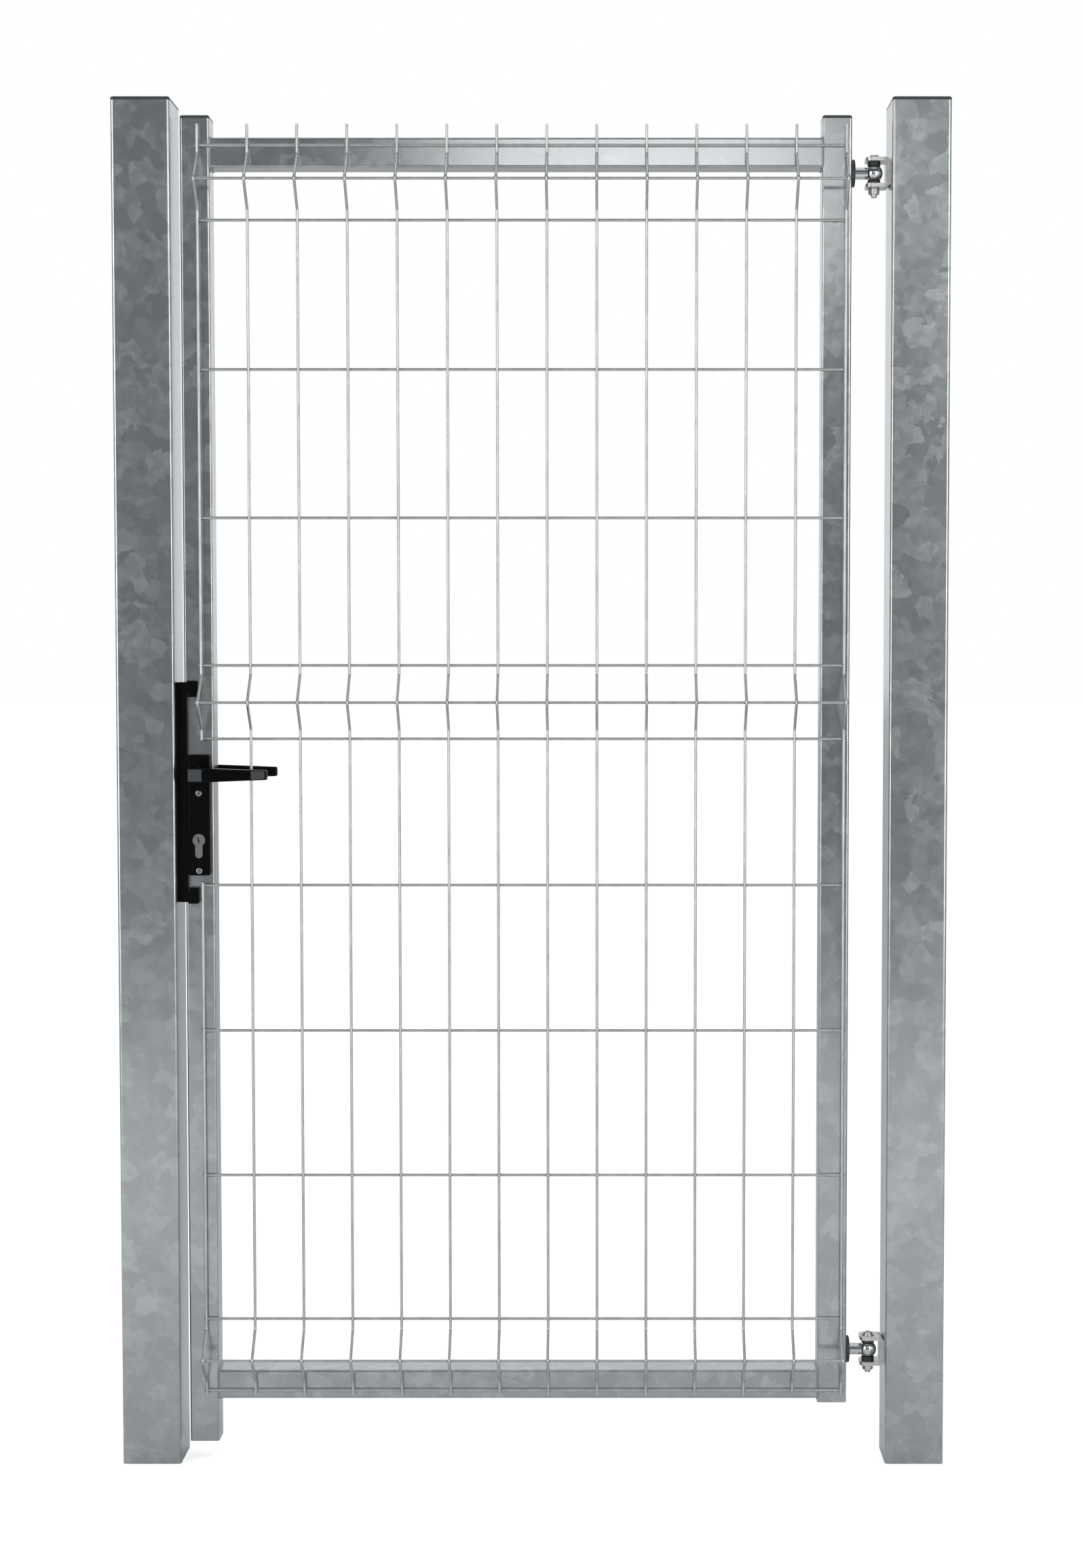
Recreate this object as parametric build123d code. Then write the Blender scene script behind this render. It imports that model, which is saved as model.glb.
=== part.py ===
"""Pedestrian garden gate: welded wire-mesh leaf in a square-tube frame, hung between two posts.

Millimetres. +X points from the latch post to the hinge post, +Y from the front to the back, +Z up.
The origin lies on the ground, half-way between the posts' outer faces, in the leaf's mid-plane.
"""

from build123d import *

import os
from math import atan2, cos, radians, sin

# Posts.
POST_WIDTH = 80.0
POST_WALL = 3.0
POST_CORNER = 4.0
POST_HEIGHT = 1860.0
POST_CAP_HEAD = 5.0

# Leaf frame.
CLEAR_WIDTH = 969.0
LATCH_GAP = 10.0
HINGE_GAP = 52.0
TUBE_WIDTH = 40.0
TUBE_WALL = 2.0
TUBE_CORNER = 3.0
LEAF_TOP = 1839.0
LATCH_STILE_FOOT = 26.0
HINGE_STILE_FOOT = 80.0
TOP_RAIL_DROP = 50.0
BOTTOM_RAIL_RISE = 25.5
STILE_CAP_HEAD = 4.5

# Push-in caps.
CAP_SKIRT = 16.0
CAP_SKIRT_WALL = 2.0
CAP_FIT = 0.15
CAP_EDGE = 3.2

# Folded wire mesh.
WIRE = 4.0
WIRE_PITCH = 67.3
MESH_INSET = 24.2
MESH_INSET_HINGE = 7.9
CROSS_STEPS = (50, 50, 200, 200, 200, 50, 50, 200, 200, 200, 200, 50, 50)
MESH_DROP = 41.0
BARB = 27.5
STUB = 5.5
FOLD_VERTEX = 36.0
FOLD_HALF = 36.5
FOLD_TIP_BEND = 5.0
FOLD_ROOT_BEND = 7.0
FOLD_ROWS = (1, 6, 12)
WELD_GAP = 0.02
CROSS_END_LATCH = 4.0
CROSS_END_HINGE = 2.5
CUT_WIRE_ROWS = (7, 8)
CUT_WIRE_BELOW = 2.0
CUT_WIRE_ABOVE = 3.6

# Hinges.
HINGE_DROP = 75.0
HINGE_RISE = 70.0
EYE_DEPTH = 20.5
EYE_BALL = 24.0
EYE_HEIGHT = 19.4
EYE_SHANK = 16.0
EYE_STEM = 30.0
STEM_EDGE = 1.2
DISC_WIDTH = 37.0
DISC_THICK = 5.0
DISC_EDGE = 1.2
INSERT_NUT_WIDTH = 24.0
INSERT_NUT_THICK = 12.0
BRACKET_HEIGHT = 40.0
BRACKET_WIDTH = 32.0
BRACKET_PLATE = 5.0
BRACKET_NOSE = 12.0
BRACKET_BEND = 6.0
BRACKET_END = 8.0
PIN = 8.0
PIN_FIT = 0.05
PIN_COLLAR = 17.8
PIN_COLLAR_THICK = 1.2
PIN_DOME = 14.0
PIN_DOME_HEIGHT = 3.2
PIN_DOME_EDGE = 2.72
PIN_EDGE = 0.8
PIN_SOCKET = 5.0
PIN_SOCKET_DEEP = 2.6
PIN_TAIL = 12.5
PIN_NUT_WIDTH = 13.0
PIN_NUT_THICK = 8.5
HINGE_WASHER = 17.5
HINGE_WASHER_FIT = 0.1
BRACKET_SCREW = 6.0
BRACKET_SCREW_HEAD = 11.0
BRACKET_SCREW_SPREAD = 8.5
BRACKET_SCREW_LONG = 20.0

# Threaded sleeves that the posts' screws turn into.
SLEEVE_WALL = 1.5
SLEEVE_FLANGE = 1.0
SLEEVE_LONG = 13.0
SLEEVE_BULGE = 1.2
SLEEVE_BULGE_LONG = 1.8

# Lock.
SPINDLE_Z = 950.0
CYLINDER_DROP = 90.0
SPINDLE = 8.0
SPINDLE_LONG = 116.0
SQUARE_FIT = 0.06
CASE_TOP = 990.0
CASE_FOOT = 826.0
CASE_THICK = 17.0
CASE_PLATE = 1.5
CASE_BACK = 16.5
CASE_ROOM = 0.5
FOREND_THICK = 2.5
FOREND_WIDTH = 22.0
FOREND_OVERHANG = 18.0
FOREND_SCREW_INSET = 8.5
FOREND_SCREW = 5.0
FOREND_SCREW_HEAD = 9.0
FOREND_SCREW_LONG = 14.0
FOREND_CORNER = 3.0
BOLT_WIDTH = 12.0
BOLT_HEIGHT = 20.0
BOLT_FIT = 0.3
LATCH_RISE = 21.0
LATCH_THROW = 9.5
LATCH_BODY = 8.5
LATCH_TAIL = 6.0
LATCH_FLAT = 2.5
LATCH_STRAIGHT = 1.0
LATCH_TAIL_DROP = 2.0
HOOK_GAP = 1.2
DEAD_RISE = 26.0
DEAD_LONG = 20.0
DEAD_TAIL = 14.7
DEAD_TAIL_THICK = 4.0
BOLT_EDGE = 0.6
HUB = 18.0
HUB_THICK = 13.4
HUB_JOURNAL = 16.0
HUB_JOURNAL_FIT = 0.08
HUB_ARM = 14.5
HUB_ARM_THICK = 5.0
HUB_ARM_WIDTH = 10.0
HUB_ARM_GAP = 0.4
HOOK_THICK = 2.2
SPRING_COIL = 4.4
SPRING_WIRE = 0.7
SPRING_TURNS = 7
SPRING_POCKET = 8.0
SPRING_STOP = 2.6
SPRING_STOP_RISE = 2.8
SPRING_RISE = 4.1
SPRING_ROOM = 0.7
RIVET = 3.0
PILLAR = 6.0
PILLAR_INSET = 3.8
PILLAR_RISE = 24.0
RIVET_HEAD = 5.0
RIVET_HEAD_THICK = 0.8
RIVET_LONG = 7.0
RIVET_FIT = 0.03

# Profile cylinder.
CYL_ROUND = 17.0
CYL_FLANGE = 10.0
CYL_DEEP = 33.0
CYL_LONG = 62.0
CYL_FIT = 0.3
STILE_CYL_ROOM = 1.0
PLUG = 13.0
PLUG_FIT = 0.05
PLUG_PROUD = 0.3
CAM_THICK = 9.4
CAM_RING = 16.4
CAM_REACH = 14.4
CAM_TOOTH = 6.0
CAM_ROOM = 0.3
CAM_BRIDGE = 9.0
CYL_SCREW = 5.0
CYL_SCREW_LONG = 27.0
CYL_SCREW_HEAD = 9.0
KEYWAY_WIDTH = 1.6
KEYWAY_HEIGHT = 8.0
KEYWAY_DEEP = 20.0
KEYWAY_STEP = 0.88
KEYWAY_LAP = 0.5
PLUG_EDGE = 0.3
CAM_END_GAP = 0.02

# Plates and lever handles.
PLATE_WIDTH = 30.0
PLATE_THICK = 9.0
PLATE_TOP = 26.5
PLATE_HEIGHT = 165.0
PLATE_CORNER = 3.0
PLATE_EDGE = 1.2
PLATE_SCREW_DROPS = (26.0, 132.0)
PLATE_SCREW = 5.0
PLATE_SCREW_HEAD = 8.5
PLATE_SCREW_PROUD = 1.4
PLATE_SCREW_SEAT = 4.5
PLATE_SCREW_DOME = 1.12
CROSS_ARM = 2.34
CROSS_SLOT = 0.45
CROSS_DEEP = 1.0
BUSH_WALL = 2.0
LEVER_NECK = 17.0
LEVER_JOURNAL = 16.0
LEVER_JOURNAL_FIT = 0.1
LEVER_REACH = 97.0
LEVER_OUT = 68.0
LEVER_TIP_OUT = 61.0
LEVER_GRIP = 12.0
LEVER_END_FLAT = 20.0
LEVER_NECK_HEIGHT = 19.0
LEVER_TIP_HEIGHT = 12.8
LEVER_INNER_BEND = 7.0
LEVER_END_CORNER = 3.0
LEVER_EDGE = 1.4
LEVER_GAP = 0.4
GRUB_SCREW = 5.0
GRUB_SCREW_LONG = 4.0
GRUB_SCREW_OUT = 40.0

# Keep on the latch post.
KEEP_BASE = 4.0
KEEP_LONG = 300.0
KEEP_TOP = 1075.0
KEEP_LIP = 14.5
KEEP_LIP_THICK = 7.0
KEEP_STEP = 1.2
KEEP_BACK = 25.0
KEEP_GAP = 0.5
KEEP_MOUTH_ROOM = 2.0
KEEP_SCREW = 6.0
KEEP_SCREW_HEAD = 11.0
KEEP_SCREW_LONG = 18.0
KEEP_SCREW_INSET = 22.0
KEEP_MIDDLE_SCREW_RISE = 15.0
DEAD_MOUTH_ROOM = 1.5
STOP_HEIGHT = 22.0
STOP_REACH = 14.8
STOP_PROUD = 1.5
STOP_OVERHANG = 2.0
STOP_SLIT = 1.9
STOP_SLIT_HEIGHT = 7.3
STOP_CORNER = 2.0

# Places that follow from the sizes above.
OVERALL = CLEAR_WIDTH + 2 * POST_WIDTH
LATCH_POST_X = -OVERALL / 2 + POST_WIDTH / 2
HINGE_POST_X = OVERALL / 2 - POST_WIDTH / 2
LATCH_POST_FACE = LATCH_POST_X + POST_WIDTH / 2
HINGE_POST_FACE = HINGE_POST_X - POST_WIDTH / 2
LEAF_LATCH_EDGE = LATCH_POST_FACE + LATCH_GAP
LEAF_HINGE_EDGE = HINGE_POST_FACE - HINGE_GAP
LATCH_STILE_X = LEAF_LATCH_EDGE + TUBE_WIDTH / 2
HINGE_STILE_X = LEAF_HINGE_EDGE - TUBE_WIDTH / 2
LEAF_FRONT = -TUBE_WIDTH / 2
TOP_RAIL_Z = LEAF_TOP - TOP_RAIL_DROP
BOTTOM_RAIL_Z = HINGE_STILE_FOOT + BOTTOM_RAIL_RISE
MESH_WIDTH = LEAF_HINGE_EDGE - LEAF_LATCH_EDGE - MESH_INSET - MESH_INSET_HINGE
UPRIGHTS = round(MESH_WIDTH / WIRE_PITCH) + 1
UPRIGHT_STEP = MESH_WIDTH / (UPRIGHTS - 1)
HINGE_X = HINGE_POST_FACE - EYE_DEPTH
HINGE_HEIGHTS = {"upper": LEAF_TOP - HINGE_DROP, "lower": HINGE_STILE_FOOT + HINGE_RISE}
ARM_GAP = BRACKET_HEIGHT / 2 - BRACKET_PLATE
CYLINDER_Z = SPINDLE_Z - CYLINDER_DROP
LATCH_Z = SPINDLE_Z + LATCH_RISE
DEAD_Z = CYLINDER_Z + DEAD_RISE
CASE_END = LATCH_STILE_X + CASE_BACK
FOREND_FACE = LEAF_LATCH_EDGE - FOREND_THICK
FOREND_TOP = CASE_TOP + FOREND_OVERHANG
FOREND_FOOT = CASE_FOOT - FOREND_OVERHANG
PLATE_FACE = LEAF_FRONT - PLATE_THICK
PLATE_SCREWS = [SPINDLE_Z - drop for drop in PLATE_SCREW_DROPS]
KEEP_FOOT = KEEP_TOP - KEEP_LONG
KEEP_FACE = LATCH_POST_FACE + KEEP_BASE
LIP_BACK = LEAF_FRONT - KEEP_GAP
LIP_FRONT = LIP_BACK - KEEP_LIP_THICK
KEEP_SCREWS = [
    KEEP_FOOT + KEEP_SCREW_INSET,
    KEEP_TOP - KEEP_SCREW_INSET,
    (SPINDLE_Z + CYLINDER_Z) / 2 + KEEP_MIDDLE_SCREW_RISE,
]


def block(x0, x1, y0, y1, z0, z1):
    """A box between two opposite corners."""
    centre = Pos((x0 + x1) / 2, (y0 + y1) / 2, (z0 + z1) / 2)
    return centre * Box(abs(x1 - x0), abs(y1 - y0), abs(z1 - z0))


def rod_x(x0, x1, y, z, diameter):
    """A round bar along X."""
    return Pos((x0 + x1) / 2, y, z) * Rot(0, 90, 0) * Cylinder(diameter / 2, abs(x1 - x0))


def rod_y(x, y0, y1, z, diameter):
    """A round bar along Y."""
    return Pos(x, (y0 + y1) / 2, z) * Rot(90, 0, 0) * Cylinder(diameter / 2, abs(y1 - y0))


def rod_z(x, y, z0, z1, diameter):
    """A round bar along Z."""
    return Pos(x, y, (z0 + z1) / 2) * Cylinder(diameter / 2, abs(z1 - z0))


def square_tube(width, wall, corner, length):
    """A square hollow section standing on the XY plane."""
    inner = width - 2 * wall
    outline = RectangleRounded(width, width, corner)
    outline -= RectangleRounded(inner, inner, max(corner - wall, wall / 2))
    return extrude(outline, length)


def push_in_cap(width, wall, corner, head):
    """A moulded cap whose head rests on the tube's end at Z = 0 and whose skirt fits inside it."""
    top = extrude(RectangleRounded(width, width, corner), head)
    top = fillet(top.faces().sort_by(Axis.Z)[-1].edges(), CAP_EDGE)
    across = width - 2 * wall - 2 * CAP_FIT
    inside = across - 2 * CAP_SKIRT_WALL
    skirt = RectangleRounded(across, across, max(corner - wall, wall / 2))
    skirt -= RectangleRounded(inside, inside, wall / 2)
    return top + Pos(0, 0, -CAP_SKIRT) * extrude(skirt, CAP_SKIRT)


def hexagon(across_flats, length):
    """A hexagonal bar standing on the XY plane, with its flats facing +Y and -Y."""
    return extrude(RegularPolygon(across_flats / 2, 6, major_radius=False), length)


def profile_prism(room, y0, y1):
    """The profile cylinder's keyhole outline, grown by room on every side, along Y."""
    round_part = rod_y(LATCH_STILE_X, y0, y1, CYLINDER_Z, CYL_ROUND + 2 * room)
    half = CYL_FLANGE / 2 + room
    foot = CYLINDER_Z + CYL_ROUND / 2 - CYL_DEEP + CYL_FLANGE / 2
    flange = block(LATCH_STILE_X - half, LATCH_STILE_X + half, y0, y1, foot, CYLINDER_Z)
    return round_part + flange + rod_y(LATCH_STILE_X, y0, y1, foot, 2 * half)


def square_bar_y(across, y0, y1):
    """The square spindle's section along Y, on the lever axis."""
    half = across / 2
    return block(LATCH_STILE_X - half, LATCH_STILE_X + half, y0, y1, SPINDLE_Z - half, SPINDLE_Z + half)


def countersunk_screw(diameter, head, length):
    """A flat-head screw along -Z with its head's flat face at Z = 0 and a hexagon socket in it."""
    cone = (head - diameter) / 2
    screw = Pos(0, 0, -length / 2) * Cylinder(diameter / 2, length)
    screw += Pos(0, 0, -cone / 2) * Cone(diameter / 2, head / 2, cone)
    return screw - Pos(0, 0, -cone) * hexagon(diameter * 0.6, cone)


def countersink(diameter, head, length):
    """The hole that a countersunk screw leaves, 0.1 mm larger all round."""
    room = 0.1
    cone = (head - diameter) / 2
    hole = Pos(0, 0, -length / 2) * Cylinder(diameter / 2 + room, length)
    return hole + Pos(0, 0, -cone / 2) * Cone(diameter / 2 + room, head / 2 + room, cone)


def facing_x(shape, x, y, z, direction):
    """Turns a shape whose outside faces +Z so that it faces +X or -X at the given point."""
    return Pos(x, y, z) * Rot(0, 90 * direction, 0) * shape


# Posts


def post_height():
    return POST_HEIGHT - POST_CAP_HEAD


def make_latch_post():
    post = Pos(LATCH_POST_X, 0, 0) * square_tube(POST_WIDTH, POST_WALL, POST_CORNER, post_height())
    post -= dead_bolt_mouth(LATCH_POST_FACE - POST_WALL - 1, LATCH_POST_FACE + 1)
    for z in KEEP_SCREWS:
        start = LATCH_POST_FACE - 2 * POST_WALL
        post -= rod_x(start, LATCH_POST_FACE + 1, keep_screw_y(), z, sleeve_hole(KEEP_SCREW))
    return post


def make_hinge_post():
    post = Pos(HINGE_POST_X, 0, 0) * square_tube(POST_WIDTH, POST_WALL, POST_CORNER, post_height())
    for z in bracket_screw_heights():
        end = HINGE_POST_FACE + 2 * POST_WALL
        post -= rod_x(HINGE_POST_FACE - 1, end, 0, z, sleeve_hole(BRACKET_SCREW))
    return post


def make_post_cap(x):
    cap = push_in_cap(POST_WIDTH, POST_WALL, POST_CORNER, POST_CAP_HEAD)
    return Pos(x, 0, post_height()) * cap


def sleeve_hole(screw):
    """Hole in a post's wall for a threaded sleeve."""
    return screw + 2 * SLEEVE_WALL + 0.1


def threaded_sleeve(screw):
    """A set threaded sleeve along -Z, its thin flange seated inside the wall's thickness at Z = 0."""
    outer = (screw + 2 * SLEEVE_WALL) / 2
    sleeve = Pos(0, 0, -SLEEVE_LONG / 2) * Cylinder(outer, SLEEVE_LONG)
    bulge = Pos(0, 0, -POST_WALL - SLEEVE_FLANGE) * Cylinder(outer + SLEEVE_BULGE, SLEEVE_BULGE_LONG)
    return sleeve + bulge - Pos(0, 0, -SLEEVE_LONG / 2) * Cylinder(screw / 2 + 0.05, SLEEVE_LONG + 1)


# Leaf frame


def make_latch_stile():
    height = LEAF_TOP - STILE_CAP_HEAD - LATCH_STILE_FOOT
    tube = square_tube(TUBE_WIDTH, TUBE_WALL, TUBE_CORNER, height)
    stile = Pos(LATCH_STILE_X, 0, LATCH_STILE_FOOT) * tube
    room = CASE_ROOM
    half = CASE_THICK / 2 + room
    edge = LEAF_LATCH_EDGE
    stile -= block(edge - 1, edge + 2 * TUBE_WALL, -half, half, CASE_FOOT - room, CASE_TOP + room)
    depth = TUBE_WIDTH / 2 + 1
    stile -= rod_y(LATCH_STILE_X, -depth, depth, SPINDLE_Z, LEVER_JOURNAL + 2 * BUSH_WALL)
    stile -= profile_prism(STILE_CYL_ROOM, -depth, depth)
    for z in PLATE_SCREWS:
        stile -= rod_y(LATCH_STILE_X, -depth, depth, z, PLATE_SCREW + 1)
    for z in forend_screw_heights():
        stile -= rod_x(edge - 1, edge + 2 * TUBE_WALL, 0, z, FOREND_SCREW + 0.1)
    return stile


def make_hinge_stile():
    height = LEAF_TOP - STILE_CAP_HEAD - HINGE_STILE_FOOT
    tube = square_tube(TUBE_WIDTH, TUBE_WALL, TUBE_CORNER, height)
    stile = Pos(HINGE_STILE_X, 0, HINGE_STILE_FOOT) * tube
    for z in HINGE_HEIGHTS.values():
        stile -= rod_x(LEAF_HINGE_EDGE - 2 * TUBE_WALL, LEAF_HINGE_EDGE + 1, 0, z, EYE_SHANK + 1)
    return stile


def make_rail(z):
    start = LATCH_STILE_X + TUBE_WIDTH / 2
    end = HINGE_STILE_X - TUBE_WIDTH / 2
    tube = square_tube(TUBE_WIDTH, TUBE_WALL, TUBE_CORNER, end - start)
    return Pos(start, 0, z) * Rot(0, 90, 0) * tube


def make_stile_cap(x):
    cap = push_in_cap(TUBE_WIDTH, TUBE_WALL, TUBE_CORNER, STILE_CAP_HEAD)
    return Pos(x, 0, LEAF_TOP - STILE_CAP_HEAD) * cap


# Mesh


def cross_heights():
    """Heights of the cross wires, from the top one down."""
    heights = [LEAF_TOP - MESH_DROP]
    for step in CROSS_STEPS:
        heights.append(heights[-1] - step)
    return heights


def cross_plane():
    return LEAF_FRONT - WIRE / 2 - WELD_GAP


def upright_plane():
    return cross_plane() - WIRE - WELD_GAP


def upright_x(index):
    return LEAF_LATCH_EDGE + MESH_INSET + index * UPRIGHT_STEP


def fold_depth():
    """How far a fold's rounded tip stands out, measured between centre lines."""
    half_angle = atan2(FOLD_HALF, FOLD_VERTEX)
    return FOLD_VERTEX - FOLD_TIP_BEND * (1 / sin(half_angle) - 1)


def folded_wire():
    """One upright wire at X = 0, from its bottom stub to its top barb, with its three folds."""
    heights = cross_heights()
    flat = upright_plane()
    tip = flat - FOLD_VERTEX
    points = [(0, flat, heights[0] + BARB)]
    radii = []
    for row in FOLD_ROWS:
        middle = heights[row]
        points += [(0, flat, middle + FOLD_HALF), (0, tip, middle), (0, flat, middle - FOLD_HALF)]
        radii += [FOLD_ROOT_BEND, FOLD_TIP_BEND, FOLD_ROOT_BEND]
    points.append((0, flat, heights[-1] - STUB))
    path = FilletPolyline(*points, radius=radii)
    section = Plane(origin=points[0], z_dir=(0, 0, -1)) * Circle(WIRE / 2)
    return sweep(section, path=path)


def make_upright_wires():
    """The uprights, the first one with a length cut out where the lock's plate sits."""
    wire = folded_wire()
    heights = cross_heights()
    high = heights[CUT_WIRE_ROWS[0]] - CUT_WIRE_BELOW
    low = heights[CUT_WIRE_ROWS[1]] + CUT_WIRE_ABOVE
    gap = block(-WIRE, WIRE, upright_plane() - WIRE, upright_plane() + WIRE, low, high)
    first = Pos(upright_x(0), 0, 0) * (wire - gap)
    rest = [Pos(upright_x(i), 0, 0) * wire for i in range(1, UPRIGHTS)]
    return [first, *rest]


def make_cross_wires():
    start = upright_x(0) - CROSS_END_LATCH
    end = upright_x(UPRIGHTS - 1) + CROSS_END_HINGE
    wires = []
    for row, z in enumerate(cross_heights()):
        fold = fold_depth() if row in FOLD_ROWS else 0
        wires.append(rod_x(start, end, cross_plane() - fold, z, WIRE))
    return wires


# Hinges


def bracket_screw_heights():
    return [z + side * BRACKET_SCREW_SPREAD for z in HINGE_HEIGHTS.values() for side in (-1, 1)]


def make_bracket(z):
    """A U-shaped bracket with its back on the post and its two arms reaching past the hinge pin."""
    nose = HINGE_X - BRACKET_NOSE
    half = BRACKET_HEIGHT / 2
    wide = BRACKET_WIDTH / 2
    bracket = block(nose, HINGE_POST_FACE, -wide, wide, z - half, z + half)
    bracket = fillet(bracket.edges().filter_by(Axis.Y).group_by(Axis.X)[-1], BRACKET_BEND)
    plate_face = HINGE_POST_FACE - BRACKET_PLATE
    hollow = block(nose - 1, plate_face, -wide - 1, wide + 1, z - ARM_GAP, z + ARM_GAP)
    hollow = fillet(hollow.edges().filter_by(Axis.Y).group_by(Axis.X)[-1], BRACKET_BEND / 3)
    bracket -= hollow
    bracket = fillet(bracket.edges().filter_by(Axis.Z).group_by(Axis.X)[0], BRACKET_END)
    bracket -= rod_z(HINGE_X, 0, z - half - 1, z + half + 1, PIN + 0.2)
    for side in (-1, 1):
        sink = countersink(BRACKET_SCREW, BRACKET_SCREW_HEAD, BRACKET_PLATE + 2)
        bracket -= facing_x(sink, plate_face, 0, z + side * BRACKET_SCREW_SPREAD, -1)
    return bracket


def make_bracket_screws(z):
    screw = countersunk_screw(BRACKET_SCREW, BRACKET_SCREW_HEAD, BRACKET_SCREW_LONG)
    seat = HINGE_POST_FACE - BRACKET_PLATE
    return [facing_x(screw, seat, 0, z + side * BRACKET_SCREW_SPREAD, -1) for side in (-1, 1)]


def make_bracket_sleeves():
    sleeve = threaded_sleeve(BRACKET_SCREW)
    return [facing_x(sleeve, HINGE_POST_FACE, 0, z, -1) for z in bracket_screw_heights()]


def make_eye_bolt(z):
    """A ball-shaped eye with flats above and below, on a round shank whose stem enters the stile."""
    eye = Pos(HINGE_X, 0, z) * Sphere(EYE_BALL / 2)
    half = EYE_HEIGHT / 2
    reach = EYE_BALL / 2 + 1
    eye &= block(HINGE_X - reach, HINGE_X + reach, -reach, reach, z - half, z + half)
    stem_end = LEAF_HINGE_EDGE - EYE_STEM
    shank = rod_x(stem_end, HINGE_X - EYE_SHANK / 2, 0, z, EYE_SHANK)
    shank = chamfer(shank.edges().sort_by(Axis.X)[0], STEM_EDGE)
    bolt = eye + shank
    return bolt - rod_z(HINGE_X, 0, z - EYE_BALL, z + EYE_BALL, PIN + 2 * PIN_FIT)


def make_hinge_disc(z):
    disc = rod_x(LEAF_HINGE_EDGE, LEAF_HINGE_EDGE + DISC_THICK, 0, z, DISC_WIDTH)
    disc = fillet(disc.edges().sort_by(Axis.X)[-1], DISC_EDGE)
    return disc - rod_x(LEAF_HINGE_EDGE - 1, LEAF_HINGE_EDGE + DISC_THICK + 1, 0, z, EYE_SHANK + 0.2)


def make_insert_nuts():
    """Nuts welded behind the stile's wall, which the eye bolts turn into."""
    nuts = []
    seat = LEAF_HINGE_EDGE - TUBE_WALL
    for z in HINGE_HEIGHTS.values():
        nut = hexagon(INSERT_NUT_WIDTH, INSERT_NUT_THICK)
        nut -= Pos(0, 0, INSERT_NUT_THICK / 2) * Cylinder(EYE_SHANK / 2 + 0.05, INSERT_NUT_THICK + 1)
        nuts.append(Pos(seat - INSERT_NUT_THICK, 0, z) * Rot(0, 90, 0) * nut)
    return nuts


def make_hinge_pin(z):
    """A collared button-head bolt dropped through both arms and the eye."""
    top = z + BRACKET_HEIGHT / 2
    pin = rod_z(HINGE_X, 0, top - BRACKET_HEIGHT - PIN_TAIL, top, PIN)
    pin = chamfer(pin.edges().sort_by(Axis.Z)[0], PIN_EDGE)
    pin += rod_z(HINGE_X, 0, top, top + PIN_COLLAR_THICK, PIN_COLLAR)
    dome = rod_z(HINGE_X, 0, top + PIN_COLLAR_THICK, top + PIN_COLLAR_THICK + PIN_DOME_HEIGHT, PIN_DOME)
    pin += fillet(dome.edges().sort_by(Axis.Z)[-1], PIN_DOME_EDGE)
    crown = top + PIN_COLLAR_THICK + PIN_DOME_HEIGHT
    return pin - Pos(HINGE_X, 0, crown - PIN_SOCKET_DEEP) * hexagon(PIN_SOCKET, PIN_SOCKET_DEEP + 1)


def make_pin_nut(z):
    """The hexagon nut under the bracket's lower arm."""
    seat = z - BRACKET_HEIGHT / 2
    nut = hexagon(PIN_NUT_WIDTH, PIN_NUT_THICK)
    corner = PIN_NUT_WIDTH / cos(radians(30)) / 2
    bevel = Pos(0, 0, PIN_NUT_THICK / 2) * Cylinder(corner, PIN_NUT_THICK)
    nut &= chamfer(bevel.edges().sort_by(Axis.Z)[0], PIN_EDGE)
    nut -= Pos(0, 0, PIN_NUT_THICK / 2) * Cylinder(PIN / 2 + 0.02, PIN_NUT_THICK + 1)
    return Pos(HINGE_X, 0, seat - PIN_NUT_THICK) * nut


def make_hinge_washers(z):
    """Plastic bearing washers above and below the eye."""
    eye_face = EYE_HEIGHT / 2 + HINGE_WASHER_FIT
    washers = []
    for side in (-1, 1):
        ring = rod_z(HINGE_X, 0, z + side * eye_face, z + side * ARM_GAP, HINGE_WASHER)
        washers.append(ring - rod_z(HINGE_X, 0, z - EYE_BALL, z + EYE_BALL, PIN + 0.2))
    return washers


# Lock case and what is in it


def bolt_prism(z, x0, x1, room):
    """A bolt's rectangular section along X."""
    half_y = BOLT_WIDTH / 2 + room
    half_z = BOLT_HEIGHT / 2 + room
    return block(x0, x1, -half_y, half_y, z - half_z, z + half_z)


def pillar_places():
    x = CASE_END - CASE_PLATE - PILLAR_INSET
    return [(x, z) for z in (CASE_TOP - PILLAR, DEAD_Z + PILLAR_RISE, CASE_FOOT + PILLAR)]


def arm_right_face():
    return LATCH_STILE_X + HUB_ARM_THICK / 2


def spring_stop_start():
    """The latch's back edge when it is drawn in, plus a little room."""
    return LEAF_LATCH_EDGE + LATCH_BODY + LATCH_THROW + SPRING_ROOM


def spring_height():
    return SPINDLE_Z + HUB_ARM + SPRING_RISE


def make_lock_case():
    """The pressed tray: back plate and rim, pillars for the rivets and the latch spring's stop."""
    half = CASE_THICK / 2
    case = block(LEAF_LATCH_EDGE, CASE_END, -half + CASE_PLATE, half, CASE_FOOT, CASE_TOP)
    inner = CASE_THICK / 2 - CASE_PLATE
    low = CASE_FOOT + CASE_PLATE
    high = CASE_TOP - CASE_PLATE
    case -= block(LEAF_LATCH_EDGE - 1, CASE_END - CASE_PLATE, -half, inner, low, high)
    for x, z in pillar_places():
        case += rod_y(x, -inner, inner + CASE_PLATE / 2, z, PILLAR)
        case -= rod_y(x, -half, 0, z, RIVET)
    stop = spring_stop_start()
    low = spring_height() - SPRING_COIL / 2 - SPRING_WIRE / 2
    high = spring_height() + SPRING_STOP_RISE
    case += block(stop, stop + SPRING_STOP, -inner + 2, inner + CASE_PLATE / 2, low, high)
    return case - case_holes()


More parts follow.
